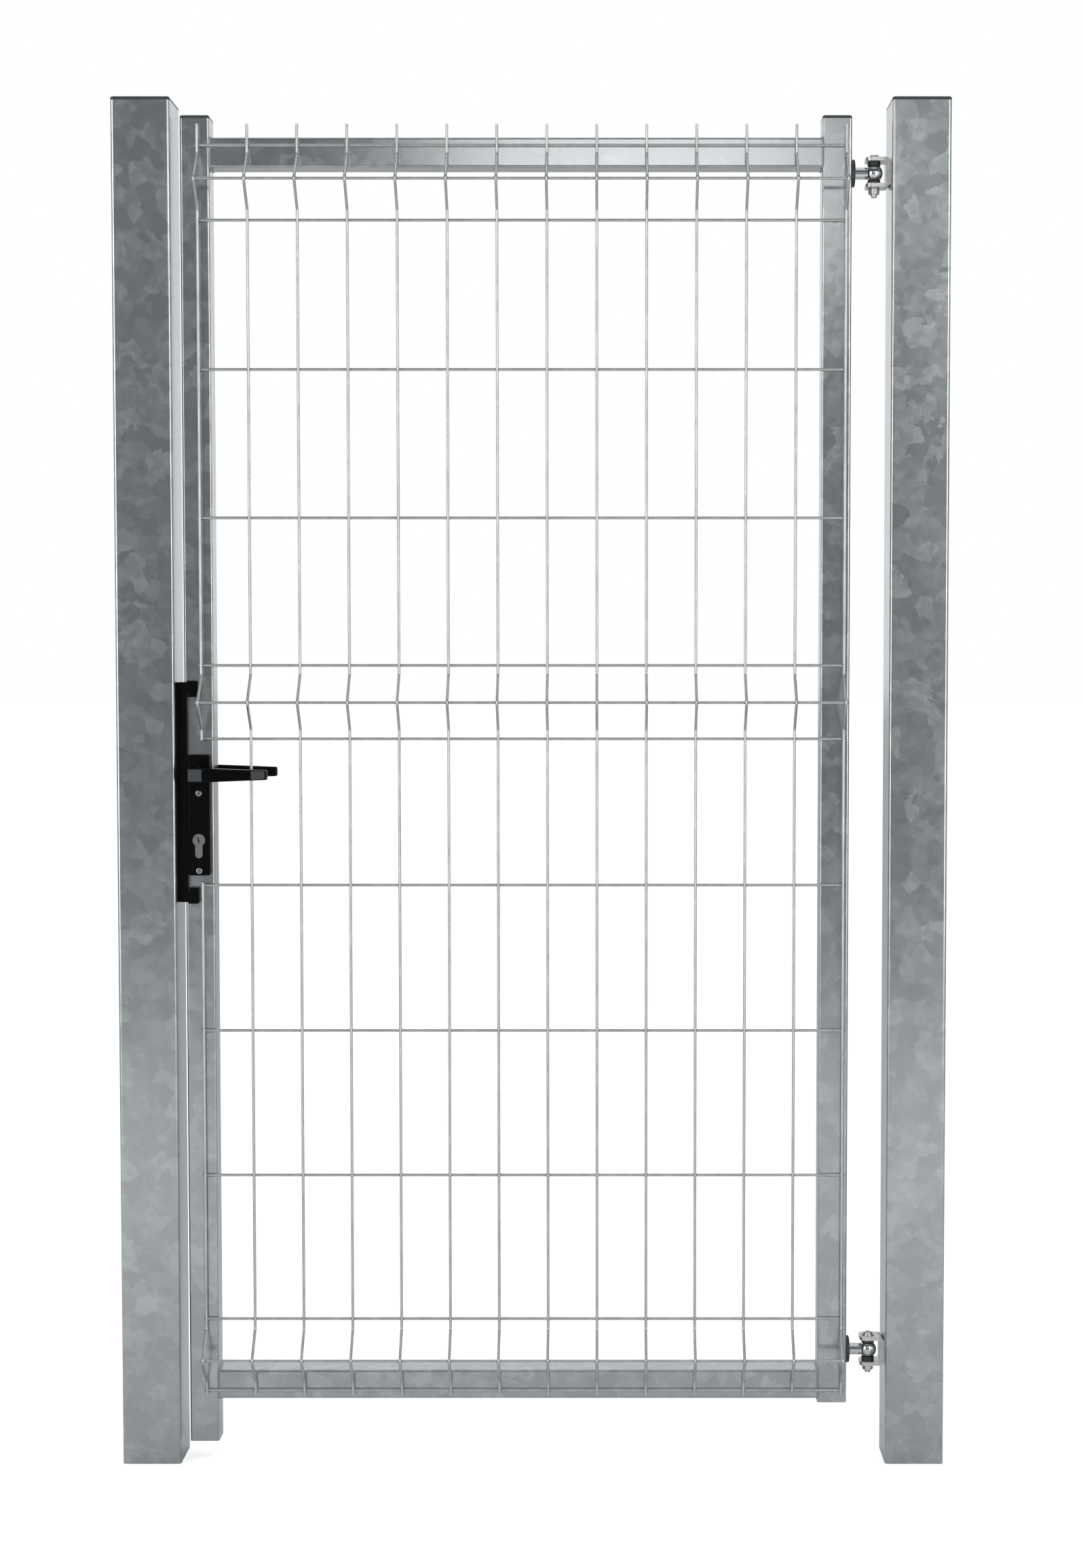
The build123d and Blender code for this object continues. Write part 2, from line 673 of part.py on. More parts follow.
def case_holes():
    """What passes through the case from front to back."""
    reach = CASE_THICK
    holes = rod_y(LATCH_STILE_X, -reach, reach, SPINDLE_Z, HUB_JOURNAL + 2 * HUB_JOURNAL_FIT)
    holes += profile_prism(CYL_FIT, -reach, reach)
    for z in PLATE_SCREWS:
        if CASE_FOOT - PLATE_SCREW < z < CASE_TOP + PLATE_SCREW:
            holes += rod_y(LATCH_STILE_X, -reach, reach, z, PLATE_SCREW + 1)
    return holes


def make_lock_cover():
    half = CASE_THICK / 2
    cover = block(LEAF_LATCH_EDGE, CASE_END, -half, -half + CASE_PLATE, CASE_FOOT, CASE_TOP)
    for x, z in pillar_places():
        cover -= rod_y(x, -half - 1, 0, z, RIVET)
    return cover - case_holes()


def make_case_rivets():
    rivets = []
    front = -CASE_THICK / 2
    for x, z in pillar_places():
        head = rod_y(x, front - RIVET_HEAD_THICK, front, z, RIVET_HEAD)
        rivets.append(head + rod_y(x, front, front + RIVET_LONG, z, RIVET - 2 * RIVET_FIT))
    return rivets


def forend_screw_heights():
    return [FOREND_FOOT + FOREND_SCREW_INSET, FOREND_TOP - FOREND_SCREW_INSET]


def cylinder_screw_z():
    return CYLINDER_Z + CYL_ROUND / 2 - CYL_DEEP + CAM_BRIDGE / 2


def make_forend():
    half = FOREND_WIDTH / 2
    plate = block(FOREND_FACE, LEAF_LATCH_EDGE, -half, half, FOREND_FOOT, FOREND_TOP)
    plate = fillet(plate.edges().filter_by(Axis.X), FOREND_CORNER)
    plate -= bolt_prism(LATCH_Z, FOREND_FACE - 1, LEAF_LATCH_EDGE + 1, BOLT_FIT)
    plate -= bolt_prism(DEAD_Z, FOREND_FACE - 1, LEAF_LATCH_EDGE + 1, BOLT_FIT)
    sink = countersink(FOREND_SCREW, FOREND_SCREW_HEAD, 2 * FOREND_SCREW_LONG)
    for z in [*forend_screw_heights(), cylinder_screw_z()]:
        plate -= facing_x(sink, FOREND_FACE, 0, z, -1)
    return plate


def make_forend_screws():
    screw = countersunk_screw(FOREND_SCREW, FOREND_SCREW_HEAD, FOREND_SCREW_LONG)
    return [facing_x(screw, FOREND_FACE, 0, z, -1) for z in forend_screw_heights()]


def make_cylinder_screw():
    screw = countersunk_screw(CYL_SCREW, CYL_SCREW_HEAD, CYL_SCREW_LONG)
    return facing_x(screw, FOREND_FACE, 0, cylinder_screw_z(), -1)


def make_latch_bolt():
    """A bevelled nose, a tail over the spring's stop and a hook that the follower's arm pushes."""
    tip = LEAF_LATCH_EDGE - LATCH_THROW
    back = LEAF_LATCH_EDGE + LATCH_BODY
    half = BOLT_WIDTH / 2
    bevel_root = LEAF_LATCH_EDGE - LATCH_STRAIGHT
    outline = Polyline(
        (back, -half), (bevel_root, -half), (tip, half - LATCH_FLAT), (tip, half), (back, half),
        close=True,
    )
    low = LATCH_Z - BOLT_HEIGHT / 2
    bolt = Pos(0, 0, low) * extrude(make_face(outline), BOLT_HEIGHT)
    hook_start = arm_right_face() + HUB_ARM_GAP
    hook_end = hook_start + HOOK_THICK
    tail_top = LATCH_Z + BOLT_HEIGHT / 2 - LATCH_TAIL_DROP
    bolt += block(back - 1, hook_end, -LATCH_TAIL / 2, LATCH_TAIL / 2, tail_top - LATCH_TAIL, tail_top)
    hook_foot = SPINDLE_Z + HUB / 2 + HOOK_GAP
    bolt += block(hook_start, hook_end, -LATCH_TAIL / 2, LATCH_TAIL / 2, hook_foot, tail_top)
    pocket = SPRING_COIL + SPRING_WIRE + 0.8
    return bolt - rod_x(back - SPRING_POCKET, back + 0.01, 0, spring_height(), pocket)


def make_latch_spring():
    """A coil spring from the pocket in the latch bolt to the stop in the case."""
    start = LEAF_LATCH_EDGE + LATCH_BODY - SPRING_POCKET + SPRING_WIRE / 2 + 0.05
    length = spring_stop_start() - SPRING_WIRE / 2 - 0.05 - start
    coil = Helix(pitch=length / SPRING_TURNS, height=length, radius=SPRING_COIL / 2)
    section = Plane(origin=coil @ 0, z_dir=coil % 0) * Circle(SPRING_WIRE / 2)
    spring = sweep(section, path=coil, is_frenet=True)
    return Pos(start, 0, spring_height()) * Rot(0, 90, 0) * spring


def make_dead_bolt():
    """A rectangular bolt, flush with the forend when it is drawn in, and its tail."""
    front = FOREND_FACE + BOLT_FIT
    bolt = bolt_prism(DEAD_Z, front, front + DEAD_LONG, 0)
    bolt = chamfer(bolt.faces().sort_by(Axis.X)[0].edges(), BOLT_EDGE)
    back = front + DEAD_LONG
    thin = DEAD_TAIL_THICK / 2
    low = DEAD_Z - BOLT_HEIGHT / 4
    high = DEAD_Z + BOLT_HEIGHT / 4
    return bolt + block(back - 1, back + DEAD_TAIL, -thin, thin, low, high)


def make_follower():
    """The hub that the spindle turns, with the arm that draws the latch in."""
    hub = rod_y(LATCH_STILE_X, -HUB_THICK / 2, HUB_THICK / 2, SPINDLE_Z, HUB)
    hub += rod_y(LATCH_STILE_X, -CASE_THICK / 2, CASE_THICK / 2, SPINDLE_Z, HUB_JOURNAL)
    half = HUB_ARM_THICK / 2
    wide = HUB_ARM_WIDTH / 2
    root = SPINDLE_Z + HUB / 2 - 1
    hub += block(
        LATCH_STILE_X - half, LATCH_STILE_X + half, -wide, wide, root, SPINDLE_Z + HUB_ARM
    )
    return hub - square_bar_y(SPINDLE + SQUARE_FIT, -CASE_THICK, CASE_THICK)


def make_spindle():
    return square_bar_y(SPINDLE, -SPINDLE_LONG / 2, SPINDLE_LONG / 2)


# Profile cylinder


def plug_room():
    return CAM_THICK / 2 + CAM_ROOM


def make_cylinder_body():
    half = CYL_LONG / 2
    body = profile_prism(0, -half, half)
    body -= rod_y(LATCH_STILE_X, -half - 1, half + 1, CYLINDER_Z, PLUG)
    bridge_top = CYLINDER_Z + CYL_ROUND / 2 - CYL_DEEP + CAM_BRIDGE
    start = LATCH_STILE_X - CYL_ROUND
    end = LATCH_STILE_X + CYL_ROUND
    room = plug_room()
    body -= block(start, end, -room, room, bridge_top, CYLINDER_Z + CYL_ROUND)
    return body - rod_x(start, end, 0, cylinder_screw_z(), CYL_SCREW + 0.1)


def make_plug(side):
    """A turning plug with its keyway, on the front (-1) or the back (+1)."""
    outer = side * (CYL_LONG / 2 + PLUG_PROUD)
    inner = side * (CAM_THICK / 2 + CAM_END_GAP)
    plug = rod_y(LATCH_STILE_X, outer, inner, CYLINDER_Z, PLUG - 2 * PLUG_FIT)
    plug = chamfer(plug.edges().sort_by(Axis.Y)[0 if side < 0 else -1], PLUG_EDGE)
    wide = KEYWAY_WIDTH / 2
    high = KEYWAY_HEIGHT / 2
    end = outer - side * KEYWAY_DEEP
    start = outer + side
    plug -= block(LATCH_STILE_X - wide, LATCH_STILE_X + wide, start, end, CYLINDER_Z - high, CYLINDER_Z)
    middle = LATCH_STILE_X - KEYWAY_STEP
    foot = CYLINDER_Z - KEYWAY_LAP
    return plug - block(middle - wide, middle + wide, start, end, foot, CYLINDER_Z + high)


def make_cam():
    cam = rod_y(LATCH_STILE_X, -CAM_THICK / 2, CAM_THICK / 2, CYLINDER_Z, CAM_RING)
    half = CAM_TOOTH / 2
    deep = CAM_THICK / 2
    foot = CYLINDER_Z - CAM_REACH
    return cam + block(LATCH_STILE_X - half, LATCH_STILE_X + half, -deep, deep, foot, CYLINDER_Z)


# Plates and handles


def make_front_plate():
    """The front plate: a shallow shell over the stile, with its holes."""
    half = PLATE_WIDTH / 2
    left = LATCH_STILE_X - half
    top = SPINDLE_Z + PLATE_TOP
    plate = block(left, left + PLATE_WIDTH, PLATE_FACE, LEAF_FRONT, top - PLATE_HEIGHT, top)
    plate = fillet(plate.edges().filter_by(Axis.Y), PLATE_CORNER)
    plate = fillet(plate.faces().sort_by(Axis.Y)[0].edges(), PLATE_EDGE)
    bush_hole = LEVER_JOURNAL + 2 * BUSH_WALL
    plate -= rod_y(LATCH_STILE_X, PLATE_FACE - 1, LEAF_FRONT + 1, SPINDLE_Z, bush_hole)
    plate -= profile_prism(CYL_FIT, PLATE_FACE - 1, LEAF_FRONT + 1)
    return plate


def make_front_plate_drilled():
    plate = make_front_plate()
    for z in PLATE_SCREWS:
        plate -= rod_y(LATCH_STILE_X, PLATE_FACE - 1, LEAF_FRONT + 1, z, PLATE_SCREW + 0.4)
    return plate


def make_rear_plate():
    """The rear plate mirrors the front one, with blind threads instead of screw holes."""
    plate = mirror(make_front_plate(), about=Plane.XZ)
    back = -LEAF_FRONT
    for z in PLATE_SCREWS:
        plate -= rod_y(LATCH_STILE_X, back - 1, back + PLATE_SCREW_SEAT + 1, z, PLATE_SCREW + 0.04)
    return plate


def make_lever_bush():
    """The plain bearing ring that the front lever turns in."""
    ring = rod_y(LATCH_STILE_X, PLATE_FACE, LEAF_FRONT, SPINDLE_Z, LEVER_JOURNAL + 2 * BUSH_WALL - 0.1)
    hole = LEVER_JOURNAL + 2 * LEVER_JOURNAL_FIT
    return ring - rod_y(LATCH_STILE_X, PLATE_FACE - 1, LEAF_FRONT + 1, SPINDLE_Z, hole)


def make_plate_screws():
    """Domed cross-recessed screws from the front plate through to the rear one."""
    screws = []
    for z in PLATE_SCREWS:
        crown = PLATE_FACE - PLATE_SCREW_PROUD
        head = rod_y(LATCH_STILE_X, crown, PLATE_FACE, z, PLATE_SCREW_HEAD)
        head = fillet(head.edges().sort_by(Axis.Y)[0], PLATE_SCREW_DOME)
        for wide, high in ((CROSS_ARM, CROSS_SLOT), (CROSS_SLOT, CROSS_ARM)):
            left = LATCH_STILE_X - wide
            head -= block(left, left + 2 * wide, crown - 1, crown + CROSS_DEEP, z - high, z + high)
        shaft = rod_y(LATCH_STILE_X, PLATE_FACE, -LEAF_FRONT + PLATE_SCREW_SEAT, z, PLATE_SCREW)
        screws.append(head + shaft)
    return screws


def make_front_lever():
    """A neck that turns in the plate and a grip that tapers in height and leans back to its tip."""
    axis = LATCH_STILE_X
    half = LEVER_NECK / 2
    flat_start = axis + LEVER_REACH - LEVER_END_FLAT
    tip = axis + LEVER_REACH
    inner_neck = LEVER_TIP_OUT - LEVER_GRIP + 1
    neck_root = -PLATE_FACE + LEVER_GAP
    outline = Polyline(
        (axis - half, -LEVER_OUT),
        (axis + half, -LEVER_OUT),
        (flat_start, -LEVER_TIP_OUT),
        (tip, -LEVER_TIP_OUT),
        (tip, -LEVER_TIP_OUT + LEVER_GRIP),
        (axis + half, -inner_neck),
        (axis + half, -neck_root),
        (axis - half, -neck_root),
        close=True,
    )
    high = LEVER_NECK_HEIGHT
    lever = Pos(0, 0, SPINDLE_Z - high) * extrude(make_face(outline), 2 * high)
    corners = lever.edges().filter_by(Axis.Z)
    inner = corners.filter_by(
        lambda e: abs(e.center().X - axis - half) < 0.1 and abs(e.center().Y + inner_neck) < 0.1
    )
    lever = fillet(inner, LEVER_INNER_BEND)
    ends = lever.edges().filter_by(Axis.Z).group_by(Axis.X)[-1]
    lever = fillet(ends, LEVER_END_CORNER)
    neck_top = LEVER_NECK_HEIGHT / 2
    tip_top = LEVER_TIP_HEIGHT / 2
    side = Polyline(
        (axis - half - 1, SPINDLE_Z - neck_top),
        (axis + half, SPINDLE_Z - neck_top),
        (tip + 1, SPINDLE_Z - tip_top),
        (tip + 1, SPINDLE_Z + tip_top),
        (axis + half, SPINDLE_Z + neck_top),
        (axis - half - 1, SPINDLE_Z + neck_top),
        close=True,
    )
    band = extrude(Plane.XZ * make_face(side), LEVER_OUT + 1)
    lever &= band
    top_and_bottom = [f for f in lever.faces() if abs(f.normal_at().Z) > 0.9]
    edges = ShapeList([e for f in top_and_bottom for e in f.edges()])
    lever = chamfer(edges, LEVER_EDGE)
    lever += rod_y(axis, -neck_root - 1, LEAF_FRONT - 0.5, SPINDLE_Z, LEVER_JOURNAL)
    lever -= square_bar_y(SPINDLE + SQUARE_FIT, -SPINDLE_LONG / 2 - 0.1, 0)
    return lever - rod_z(axis, -GRUB_SCREW_OUT, SPINDLE_Z - high, SPINDLE_Z, GRUB_SCREW + 0.1)


def make_grub_screws():
    """Set screws under the necks that clamp the levers on the spindle."""
    screws = []
    foot = SPINDLE_Z - SPINDLE / 2 - GRUB_SCREW_LONG - 0.1
    for y in (-GRUB_SCREW_OUT, GRUB_SCREW_OUT):
        screw = rod_z(LATCH_STILE_X, y, foot, foot + GRUB_SCREW_LONG, GRUB_SCREW)
        screws.append(screw - Pos(LATCH_STILE_X, y, foot - 0.01) * hexagon(GRUB_SCREW / 2, 2))
    return screws


# Keep


def dead_bolt_mouth(x0, x1):
    return bolt_prism(DEAD_Z, x0, x1, DEAD_MOUTH_ROOM)


def keep_screw_y():
    return (KEEP_BACK + LIP_BACK) / 2


def make_keep_bar():
    """An angle on the post: its base lies on the post's side, its lip stands before the leaf."""
    base = block(LATCH_POST_FACE, KEEP_FACE, LIP_FRONT + KEEP_STEP, KEEP_BACK, KEEP_FOOT, KEEP_TOP)
    middle = LATCH_POST_FACE + KEEP_LIP / 2
    lip = block(LATCH_POST_FACE, LATCH_POST_FACE + KEEP_LIP, LIP_FRONT, LIP_BACK, KEEP_FOOT, KEEP_TOP)
    step = LIP_FRONT + KEEP_STEP
    lip -= block(LATCH_POST_FACE - 1, middle, LIP_FRONT - 1, step, KEEP_FOOT - 1, KEEP_TOP + 1)
    bar = base + lip
    room = KEEP_MOUTH_ROOM
    low = LATCH_Z - BOLT_HEIGHT / 2 - room
    high = LATCH_Z + BOLT_HEIGHT / 2 + room
    bar -= block(LATCH_POST_FACE - 1, KEEP_FACE + 1, -BOLT_WIDTH / 2 - room, KEEP_BACK + 1, low, high)
    bar -= dead_bolt_mouth(LATCH_POST_FACE - 1, KEEP_FACE + 1)
    sink = countersink(KEEP_SCREW, KEEP_SCREW_HEAD, 2 * KEEP_BASE)
    for z in KEEP_SCREWS:
        bar -= facing_x(sink, KEEP_FACE, keep_screw_y(), z, 1)
    return bar


def make_keep_stop(top):
    """A stop on the bar's lip that the latch stile closes against, at the top or the foot of the bar."""
    start = LATCH_POST_FACE + KEEP_LIP
    end = start + STOP_REACH
    if top:
        high = KEEP_TOP + STOP_OVERHANG
        low = high - STOP_HEIGHT
        slit_low = low
    else:
        low = KEEP_FOOT - STOP_OVERHANG
        high = low + STOP_HEIGHT
        slit_low = high - STOP_SLIT_HEIGHT
    stop = block(start, end, LIP_FRONT - STOP_PROUD, LIP_BACK, low, high)
    stop = fillet(stop.edges().filter_by(Axis.Y).group_by(Axis.X)[-1], STOP_CORNER)
    lap = 0.01
    slit_high = slit_low + STOP_SLIT_HEIGHT + lap
    return stop - block(start - 1, start + STOP_SLIT, -TUBE_WIDTH, 0, slit_low - lap, slit_high)


def make_keep_screws():
    screw = countersunk_screw(KEEP_SCREW, KEEP_SCREW_HEAD, KEEP_SCREW_LONG)
    return [facing_x(screw, KEEP_FACE, keep_screw_y(), z, 1) for z in KEEP_SCREWS]


def make_keep_sleeves():
    sleeve = threaded_sleeve(KEEP_SCREW)
    return [facing_x(sleeve, LATCH_POST_FACE, keep_screw_y(), z, 1) for z in KEEP_SCREWS]


def all_nodes():
    """Every sub-part by name; a list stands for separate solids of one kind."""
    nodes = {
        "latch_post": make_latch_post(),
        "hinge_post": make_hinge_post(),
        "latch_post_cap": make_post_cap(LATCH_POST_X),
        "hinge_post_cap": make_post_cap(HINGE_POST_X),
        "latch_stile": make_latch_stile(),
        "hinge_stile": make_hinge_stile(),
        "top_rail": make_rail(TOP_RAIL_Z),
        "bottom_rail": make_rail(BOTTOM_RAIL_Z),
        "latch_stile_cap": make_stile_cap(LATCH_STILE_X),
        "hinge_stile_cap": make_stile_cap(HINGE_STILE_X),
        "mesh_upright_wires": make_upright_wires(),
        "mesh_cross_wires": make_cross_wires(),
        "hinge_insert_nuts": make_insert_nuts(),
        "bracket_sleeves": make_bracket_sleeves(),
        "lock_case": make_lock_case(),
        "lock_cover": make_lock_cover(),
        "lock_case_rivets": make_case_rivets(),
        "lock_forend": make_forend(),
        "forend_screws": make_forend_screws(),
        "cylinder_screw": make_cylinder_screw(),
        "latch_bolt": make_latch_bolt(),
        "latch_spring": make_latch_spring(),
        "dead_bolt": make_dead_bolt(),
        "lock_follower": make_follower(),
        "handle_spindle": make_spindle(),
        "cylinder_body": make_cylinder_body(),
        "cylinder_front_plug": make_plug(-1),
        "cylinder_rear_plug": make_plug(1),
        "cylinder_cam": make_cam(),
        "front_plate": make_front_plate_drilled(),
        "rear_plate": make_rear_plate(),
        "front_lever_bush": make_lever_bush(),
        "rear_lever_bush": mirror(make_lever_bush(), about=Plane.XZ),
        "plate_screws": make_plate_screws(),
        "front_lever": make_front_lever(),
        "rear_lever": mirror(make_front_lever(), about=Plane.XZ),
        "lever_grub_screws": make_grub_screws(),
        "keep_bar": make_keep_bar(),
        "keep_upper_stop": make_keep_stop(True),
        "keep_lower_stop": make_keep_stop(False),
        "keep_screws": make_keep_screws(),
        "keep_sleeves": make_keep_sleeves(),
    }
    for name, z in HINGE_HEIGHTS.items():
        nodes[f"{name}_hinge_bracket"] = make_bracket(z)
        nodes[f"{name}_bracket_screws"] = make_bracket_screws(z)
        nodes[f"{name}_hinge_eye_bolt"] = make_eye_bolt(z)
        nodes[f"{name}_hinge_disc"] = make_hinge_disc(z)
        nodes[f"{name}_hinge_pin"] = make_hinge_pin(z)
        nodes[f"{name}_hinge_nut"] = make_pin_nut(z)
        nodes[f"{name}_hinge_washers"] = make_hinge_washers(z)
    return nodes


def main():
    os.makedirs("parts", exist_ok=True)
    for name, shape in all_nodes().items():
        if isinstance(shape, list):
            shape = Compound([solid for piece in shape for solid in piece.solids()])
        export_step(shape, f"parts/{name}.step")


main()
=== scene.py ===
from math import pi, radians, sin

import bmesh
import bpy
from bpy.props import FloatProperty, FloatVectorProperty, IntProperty, PointerProperty
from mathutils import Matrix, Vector


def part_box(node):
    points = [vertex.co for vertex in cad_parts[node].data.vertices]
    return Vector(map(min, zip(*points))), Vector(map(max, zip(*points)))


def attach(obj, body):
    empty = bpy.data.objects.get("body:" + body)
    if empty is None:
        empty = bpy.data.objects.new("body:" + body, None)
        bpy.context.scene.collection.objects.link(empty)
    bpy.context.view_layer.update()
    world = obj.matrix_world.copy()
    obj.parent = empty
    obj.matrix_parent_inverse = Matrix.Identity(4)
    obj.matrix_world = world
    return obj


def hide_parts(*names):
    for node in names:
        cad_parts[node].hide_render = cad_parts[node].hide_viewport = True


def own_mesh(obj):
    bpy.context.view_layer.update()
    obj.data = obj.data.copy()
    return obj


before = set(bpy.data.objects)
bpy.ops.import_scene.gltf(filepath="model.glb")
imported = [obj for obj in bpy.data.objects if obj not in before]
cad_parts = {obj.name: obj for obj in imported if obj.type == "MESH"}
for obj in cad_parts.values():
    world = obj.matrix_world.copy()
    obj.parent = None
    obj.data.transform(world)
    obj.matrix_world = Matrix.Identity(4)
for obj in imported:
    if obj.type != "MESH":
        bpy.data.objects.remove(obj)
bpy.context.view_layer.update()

bl_info = {
    "name": "Garden gate",
    "version": (1, 0, 0),
    "blender": (4, 5, 0),
    "location": "View3D > Sidebar > Gate",
    "description": "Finishes and weld detail of a galvanised garden gate with welded mesh infill",
    "category": "Object",
}

# Nodes of the gate by the finish they carry.
TUBES = ("latch_post", "hinge_post", "latch_stile", "hinge_stile", "top_rail", "bottom_rail")
CAPS = ("latch_post_cap", "hinge_post_cap", "latch_stile_cap", "hinge_stile_cap")
BRACKETS = ("upper_hinge_bracket", "lower_hinge_bracket")
FASTENERS = (
    "upper_hinge_pin", "lower_hinge_pin", "upper_hinge_nut", "lower_hinge_nut",
    "upper_bracket_screws", "lower_bracket_screws", "bracket_sleeves", "hinge_insert_nuts",
)
EYES = ("upper_hinge_eye_bolt", "lower_hinge_eye_bolt")
HINGE_PLASTIC = (
    "upper_hinge_disc", "lower_hinge_disc", "upper_hinge_washers", "lower_hinge_washers",
)
COATED = (
    "front_plate", "rear_plate", "rear_lever", "keep_bar", "keep_upper_stop", "keep_lower_stop",
)
BRIGHT_SCREWS = ("plate_screws", "forend_screws", "keep_screws")
STAINLESS = ("lock_forend", "latch_bolt", "dead_bolt")
LOCK_WORKS = (
    "lock_case", "lock_cover", "lock_case_rivets", "lock_follower", "handle_spindle",
    "latch_spring", "cylinder_screw", "lever_grub_screws", "keep_sleeves",
)
LOCK_PLASTIC = ("front_lever_bush", "rear_lever_bush")
NICKEL = ("cylinder_body", "cylinder_front_plug", "cylinder_rear_plug", "cylinder_cam")

# How far the crystal pattern of one tube lies from that of the tube before it, in metres.
TUBE_SHIFT = (0.37, 0.73, 0.51)

# Rows of cross wires, as drops from the top row, in metres. The folded rows stand forward.
CROSS_DROPS = (0, 0.05, 0.1, 0.3, 0.5, 0.7, 0.75, 0.8, 1.0, 1.2, 1.4, 1.6, 1.65, 1.7)
FOLDED_ROWS = (1, 6, 12)
UPRIGHTS = 14
WIRE = 0.004

# A resistance weld's rounding, as a share of its width.
SPOT_TAPER = 0.22

# Tack welds between a cross wire and a stile: radius, rounding of the ends, how far they sink into
# the stile's face, and how far below the wire's middle they lie, as a share of the wire.
TACK_RADIUS = 0.0012
TACK_EDGE = 0.0006
TACK_SINK = 0.0004
TACK_DROP = 0.42
TACK_FACES = 8

# The bead round a rail's end: the tube's corner and the steps round it, the shortest side that is
# rippled, and the share by which its thickness swells at every second point and along the bead.
BEAD_CORNER = 0.003
BEAD_CORNER_STEPS = 4
BEAD_SIDE = 0.01
BEAD_SWELL = 0.16
BEAD_WANDER = 0.08
BEAD_WANDER_STEP = 1.7

# The latch's return spring: thickness, turns, faces round the wire and steps in a turn.
SPRING_WIRE = 0.0007
SPRING_TURNS = 7
SPRING_FACES = 8
SPRING_STEPS = 16

# The lever's two painted highlights, grey patches that stand for lamp light on its front faces: how far
# each reaches from its end, the black margin round the outer one as a share of the lever's height, and the
# least that a face of theirs turns to the front.
NECK_HIGHLIGHT = 0.0185
END_HIGHLIGHT = 0.0215
END_MARGIN = 0.16
HIGHLIGHT_FACING = -0.8

COAT_ROUGHNESS = 0.27

# Depths of the surfaces' finest relief, in metres.
METAL_RELIEF = 0.00003
MOULD_RELIEF = 0.00005
COAT_RELIEF = 0.00006

# Area lights: place, size, power in watts and colour. Each looks at the middle of the gate, at half
# its own height.
SOFTBOXES = {
    "key_softbox": ((0.18, -3.95, 2.45), (1.1, 0.4), 4.6, (1.0, 0.955, 0.925)),
    "right_panel": ((2.2, -2.95, 1.6), (2.0, 2.8), 49.0, (1.0, 0.99, 0.97)),
    "left_panel": ((-2.6, -2.75, 1.6), (2.0, 2.8), 52.0, (1.0, 0.99, 0.97)),
}
AIM_HEIGHT = 0.5

# The soft light from above: its strength, and how wide it is, in degrees.
OVERHEAD_STRENGTH = 0.7
OVERHEAD_SPREAD = 70

# Brightness of the studio in what the metal reflects: low in front of the gate, high behind it, and
# lower again overhead. Each gives the directions between which it changes, and its two values.
FRONT_TO_BACK = {"start": -0.3, "end": 0.2, "low": 0.22, "high": 0.95}
LEVEL_TO_TOP = {"start": 0.2, "end": 0.9, "low": 1.0, "high": 0.35}

# Width of the camera's sensor, in millimetres.
SENSOR_WIDTH = 36


